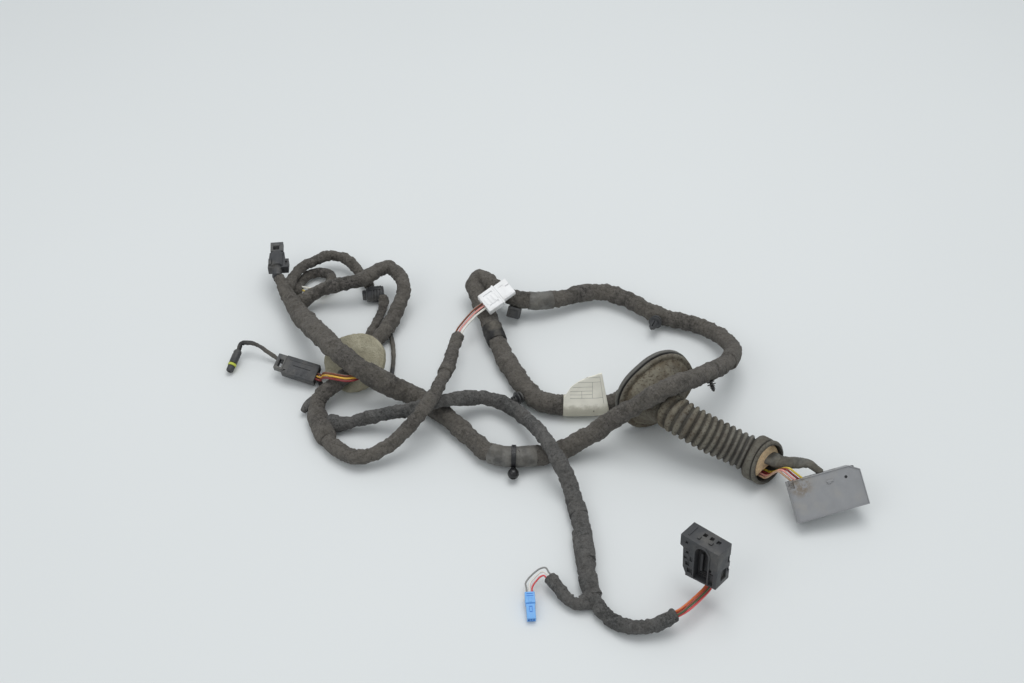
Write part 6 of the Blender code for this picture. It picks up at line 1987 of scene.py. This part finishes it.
    def bands(self) -> None:
        """Wind the three bands of smooth tape."""
        for node, centre, length, finish, seed in (
            ("tape_dark", (-37, 111, 13.5), 0.020, TAPE_DARK, 0.4),
            ("tape_grey", (8, 155, 19), 0.024, TAPE_GREY, 1.9),
            ("tape_smooth", (-19, -46, 10), 0.042, TAPE_GREY, 3.1),
        ):
            relief = self.wound(0.0003, 0.00022, seed)
            band = sleeve(f"{node}_band", self.strands["trunk"], centre, length, 0.00085, relief, finish)
            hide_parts(node)

    def tapes(self) -> None:
        """Wind the short extra laps of fleece tape at forks and ends, and leave a loose tail on one."""
        for name, strand, centre, length, grow, seed in (
            ("lap_front_a", "arm_front", (36, -144, 8), 0.031, 0.0010, 0.2),
            ("lap_front_b", "arm_front", (52, -184, 8), 0.020, 0.0013, 1.7),
            ("lap_fork", "trunk", (-150, 60, 16), 0.024, 0.0009, 2.6),
            ("lap_back", "trunk", (60, 150, 16), 0.013, 0.0007, 4.0),
            ("lap_arm", "arm_front", (-60, 19, 20), 0.012, 0.0008, 5.3),
            ("lap_arm_end", "arm_front", (38, -104, 9), 0.012, 0.0008, 6.1),
            ("lap_join", "arm_left", (-198, -4, 8), 0.036, 0.0027, 9.4),
            ("lap_left", "arm_left", (-100, 40, 20), 0.014, 0.0007, 7.7),
            ("lap_right", "trunk", (190, 60, 40), 0.016, 0.0007, 8.4),
        ):
            finish = TAPE_ARM if strand == "arm_front" else TAPE
            sleeve(name, self.strands[strand], centre, length, grow, self.ragged(grow, seed), finish)
        knots = [(-203, 27, 11, 5.6), (-209, 24.5, 9.8, 5.2), (-214, 20.5, 8.2, 4.4), (-217.5, 15.5, 6.4, 3.0)]
        tube("tape_tail", Course.through(knots, 0.001), 26, None, TAPE_ARM, 90.0, 0.3)

    def build(self) -> None:
        """Make every fixing."""
        self.edge_clip()
        self.fir_clip("clip_fir", "trunk", (128, 141, 12), (0.1, -0.8, 0.05), 1.15)
        self.fir_clip("clip_small", "trunk", (161, 21, 54), (0.25, -0.75, -0.6), 0.7)
        self.fir_clip("clip_twin", "trunk", (-3, 36, 10), (-0.55, -0.8, 0.05), 1.1)
        self.tie()
        self.bands()
        self.tapes()
        LOG.info("clips, tie and bands")


@dataclass
class FoamDisc:
    """The weathered foam disc threaded on the left arm."""

    place: Matrix
    course: Course
    radius: float = 30.5
    thick: float = 8.0

    def build(self) -> None:
        """Make the disc: a rounded pad with dents, pores and its hole."""
        bench = Bench("foam_disc_pad")
        outline = []
        for t in circle(96):
            r = (self.radius - 0.9) * (1 + 0.035 * sin(2 * t + 0.6) + 0.02 * sin(3 * t))
            r += 0.5 * noise.noise(Vector((cos(t), sin(t), 0.3)) * 3.1)
            outline.append((r * cos(t), r * sin(t)))
        pad = bench.prism(outline, -self.thick / 2 + 0.3, self.thick / 2 - 0.3, round_by=1.1, segments=3)
        apply_modifier(pad, "REMESH", mode="VOXEL", voxel_size=0.0011)
        for vert in pad.data.vertices:
            here = vert.co
            push = 0.0007 * noise.noise(here * 90.0) + 0.00045 * noise.noise(here * 320.0)
            dent = -0.0016 * max(0.0, noise.noise(here * 45.0 + Vector((3, 1, 7))) - 0.25)
            vert.co = here + vert.normal * (push + dent)
        pad.data.transform(self.place)
        middle = self.course.nearest(tuple(self.place.translation))
        rings = []
        for i in range(max(0, middle - 55), middle + 56, 5):
            r = float(self.course.radii[i]) + 0.0006
            grids = self.course.points, self.course.sides, self.course.ups
            spot, side, up = (Vector(grid[i].tolist()) for grid in grids)
            rings.append([spot + (side * cos(t) + up * sin(t)) * r for t in circle(32)])
        bore = extrude_rings("foam_disc_bore", rings)
        bench.parts.append(bore)
        bench.carve(pad, bore)
        piece = bench.settle(Matrix.Identity(4), FOAM_GREY, "foam_disc")


@dataclass
class Flag:
    """The paper flag stuck round the trunk, its quarter-round fin standing up behind it."""

    course: Course
    length: float = 0.041
    height: float = 0.036
    thick: float = 0.00035
    lean: float = 112.0

    def build(self) -> None:
        """Make the flag as one bent sheet and give it its thickness."""
        middle = self.course.along[self.course.nearest((0.049, 0.0175, 0.012))]
        columns, wrap, rise = 42, 34, 24
        girth = radians(356)
        verts, uvs = [], []
        start, lean = radians(28), radians(self.lean)
        for c in range(columns + 1):
            share = c / columns
            i = int(np.searchsorted(self.course.along, middle - self.length / 2 + self.length * share))
            spot, along = self.course.sample(i)
            along = -along if along.x < 0 else along
            front = Vector((along.y, -along.x, 0)).normalized()
            up = along.cross(front)
            up = -up if up.z < 0 else up
            radius = float(self.course.radii[i]) + 0.0011
            top = self.height * sqrt(1 - (0.96 * share) ** 2)
            fin = front * cos(lean) + up * sin(lean)
            back = front * sin(lean) - up * cos(lean)
            root = spot + (front * cos(start) + up * sin(start)) * radius
            plies = []
            for k in range(rise + 1):
                t = k / rise
                bow = 0.0012 * sin(pi * t) * sin(2.6 * share + 0.5)
                bow += 0.0004 * noise.noise(Vector((share * 4, t * 4, 0.0)))
                plies.append((root + fin * top * t - back * bow, top * t / self.height))
            for point, tall in reversed(plies):
                verts.append(point)
                uvs.append((1 - share, tall))
            for k in range(1, wrap):
                a = start - girth * k / wrap
                verts.append(spot + (front * cos(a) + up * sin(a)) * radius)
                uvs.append((1 - share, -0.5 * sin(pi * k / wrap)))
            for point, tall in plies[2:]:
                verts.append(point - back * 0.0006)
                uvs.append((1 - share, tall))
        row = len(verts) // (columns + 1)
        faces = []
        for c in range(columns):
            for k in range(row - 1):
                a = c * row + k
                faces.append((a, a + 1, a + row + 1, a + row))
        flag = mesh_piece("flag_sheet", verts, faces, PAPER, 40.0)
        layer = flag.data.uv_layers.new(name="UVMap")
        for loop in flag.data.loops:
            layer.data[loop.index].uv = uvs[loop.vertex_index]
        apply_modifier(flag, "SOLIDIFY", thickness=self.thick, offset=0.0)
        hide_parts("label")
        across = 2 * self.height + girth * radius
        LOG.info("flag: cut from a sheet of %.0f by %.0f mm", self.length / MM, across / MM)


@dataclass
class Studio:
    """The camera, the pale floor and the soft overhead light."""

    lens: float = 50.0
    place: tuple[float, float, float] = (-0.020, -0.889, 1.004)
    tilt: float = 45.0
    floor_color: tuple[int, int, int] = (228, 231, 231)

    def camera(self) -> None:
        """Set the camera at the photograph's angle."""
        data = bpy.data.cameras.new("view")
        data.lens = self.lens
        data.sensor_width = 36.0
        data.dof.use_dof = False
        camera = bpy.data.objects.new("view", data)
        camera.location = self.place
        camera.rotation_euler = (radians(self.tilt), 0.0, 0.0)
        bpy.context.scene.collection.objects.link(camera)
        bpy.context.scene.camera = camera

    def floor(self) -> None:
        """Lay the floor under the harness."""
        bpy.ops.object.select_all(action="DESELECT")
        bpy.ops.mesh.primitive_plane_add(size=8.0, location=(0.0, 0.0, 0.0))
        floor = bpy.context.active_object
        floor.name = "floor"
        mat = bpy.data.materials.new("floor paint")
        mat.use_nodes = True
        n = Nodes(mat.node_tree)
        shader = mat.node_tree.nodes["Principled BSDF"]
        tone = n.mix(n.noise(1.6, 2.0), rgba(self.floor_color, 0.97), rgba(self.floor_color, 1.02))
        n.feed(shader.inputs["Base Color"], tone)
        shader.inputs["Roughness"].default_value = 0.6
        shader.inputs["Specular IOR Level"].default_value = 0.2
        floor.data.materials.append(mat)

    def light(self) -> None:
        """Hang a wide soft lamp overhead and fill the rest with a pale sky."""
        world = bpy.data.worlds.new("room")
        bpy.context.scene.world = world
        world.use_nodes = True
        background = world.node_tree.nodes["Background"]
        background.inputs["Color"].default_value = rgba((236, 240, 243))
        background.inputs["Strength"].default_value = 0.62
        for name, place, aim, size, power in (
            ("overhead", (0.15, 0.35, 1.9), (0.0, 0.0, 0.0), 1.3, 15.0),
            ("window", (-1.2, -0.9, 1.7), (0.0, 0.0, 0.0), 1.2, 5.0),
        ):
            data = bpy.data.lights.new(name, "AREA")
            data.size = size
            data.energy = power
            lamp = bpy.data.objects.new(name, data)
            lamp.location = place
            lamp.rotation_euler = (Vector(aim) - Vector(place)).to_track_quat("-Z", "Y").to_euler()
            bpy.context.scene.collection.objects.link(lamp)

    def build(self) -> None:
        """Set up the whole studio."""
        self.camera()
        self.floor()
        self.light()
        bpy.context.scene.view_settings.view_transform = "Standard"


def flat_plug_place(disc: Matrix, disc_radius: float = 30.5) -> Matrix:
    """The flat plug's placement beside the foam disc.

    Args:
        disc: The disc's placement.
        disc_radius: Its radius in millimetres.

    Returns:
        The placement of the plug's own axes.
    """
    turn, reach = radians(-163.5), disc_radius + 7.0
    spot = disc @ (Vector((reach * cos(turn), reach * sin(turn), 5.4)) * MM)
    return frame_at(spot / MM, (-0.93, 0.32, 0.02), (0, -0.3, 0.95))


def dress_carried() -> None:
    """Give every CAD node that still shows a finish, so that none is left plain."""
    for name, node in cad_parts.items():
        if node.hide_render:
            continue
        node.data.materials.clear()
        node.data.materials.append(BLACK.material())
        LOG.info("%s keeps its CAD shape", name)


def main() -> None:
    """Build the studio, the strands and every piece on them."""
    logging.basicConfig(level=logging.INFO, format="%(message)s")
    Studio().build()
    strands = Strands()
    strands.build()
    Wires().build()
    courses = strands.courses()
    boot = DoorBoot()
    boot.build()
    boot.foam()
    DoorPlug().build()
    MotorPlug().build()
    WhitePlug().build()
    BluePlug().build()
    RearPlug().build()
    disc_at = frame_at((-171.5, 66.0, 20.5), (1, 0, 0), (-0.18, -0.45, 0.87))
    FlatPlug(flat_plug_place(disc_at)).build()
    FoamDisc(disc_at, courses["arm_left"]).build()
    RoundPlugs().build()
    Fixings(courses).build()
    Flag(courses["trunk"]).build()
    dress_carried()


if __name__ == "__main__":
    main()
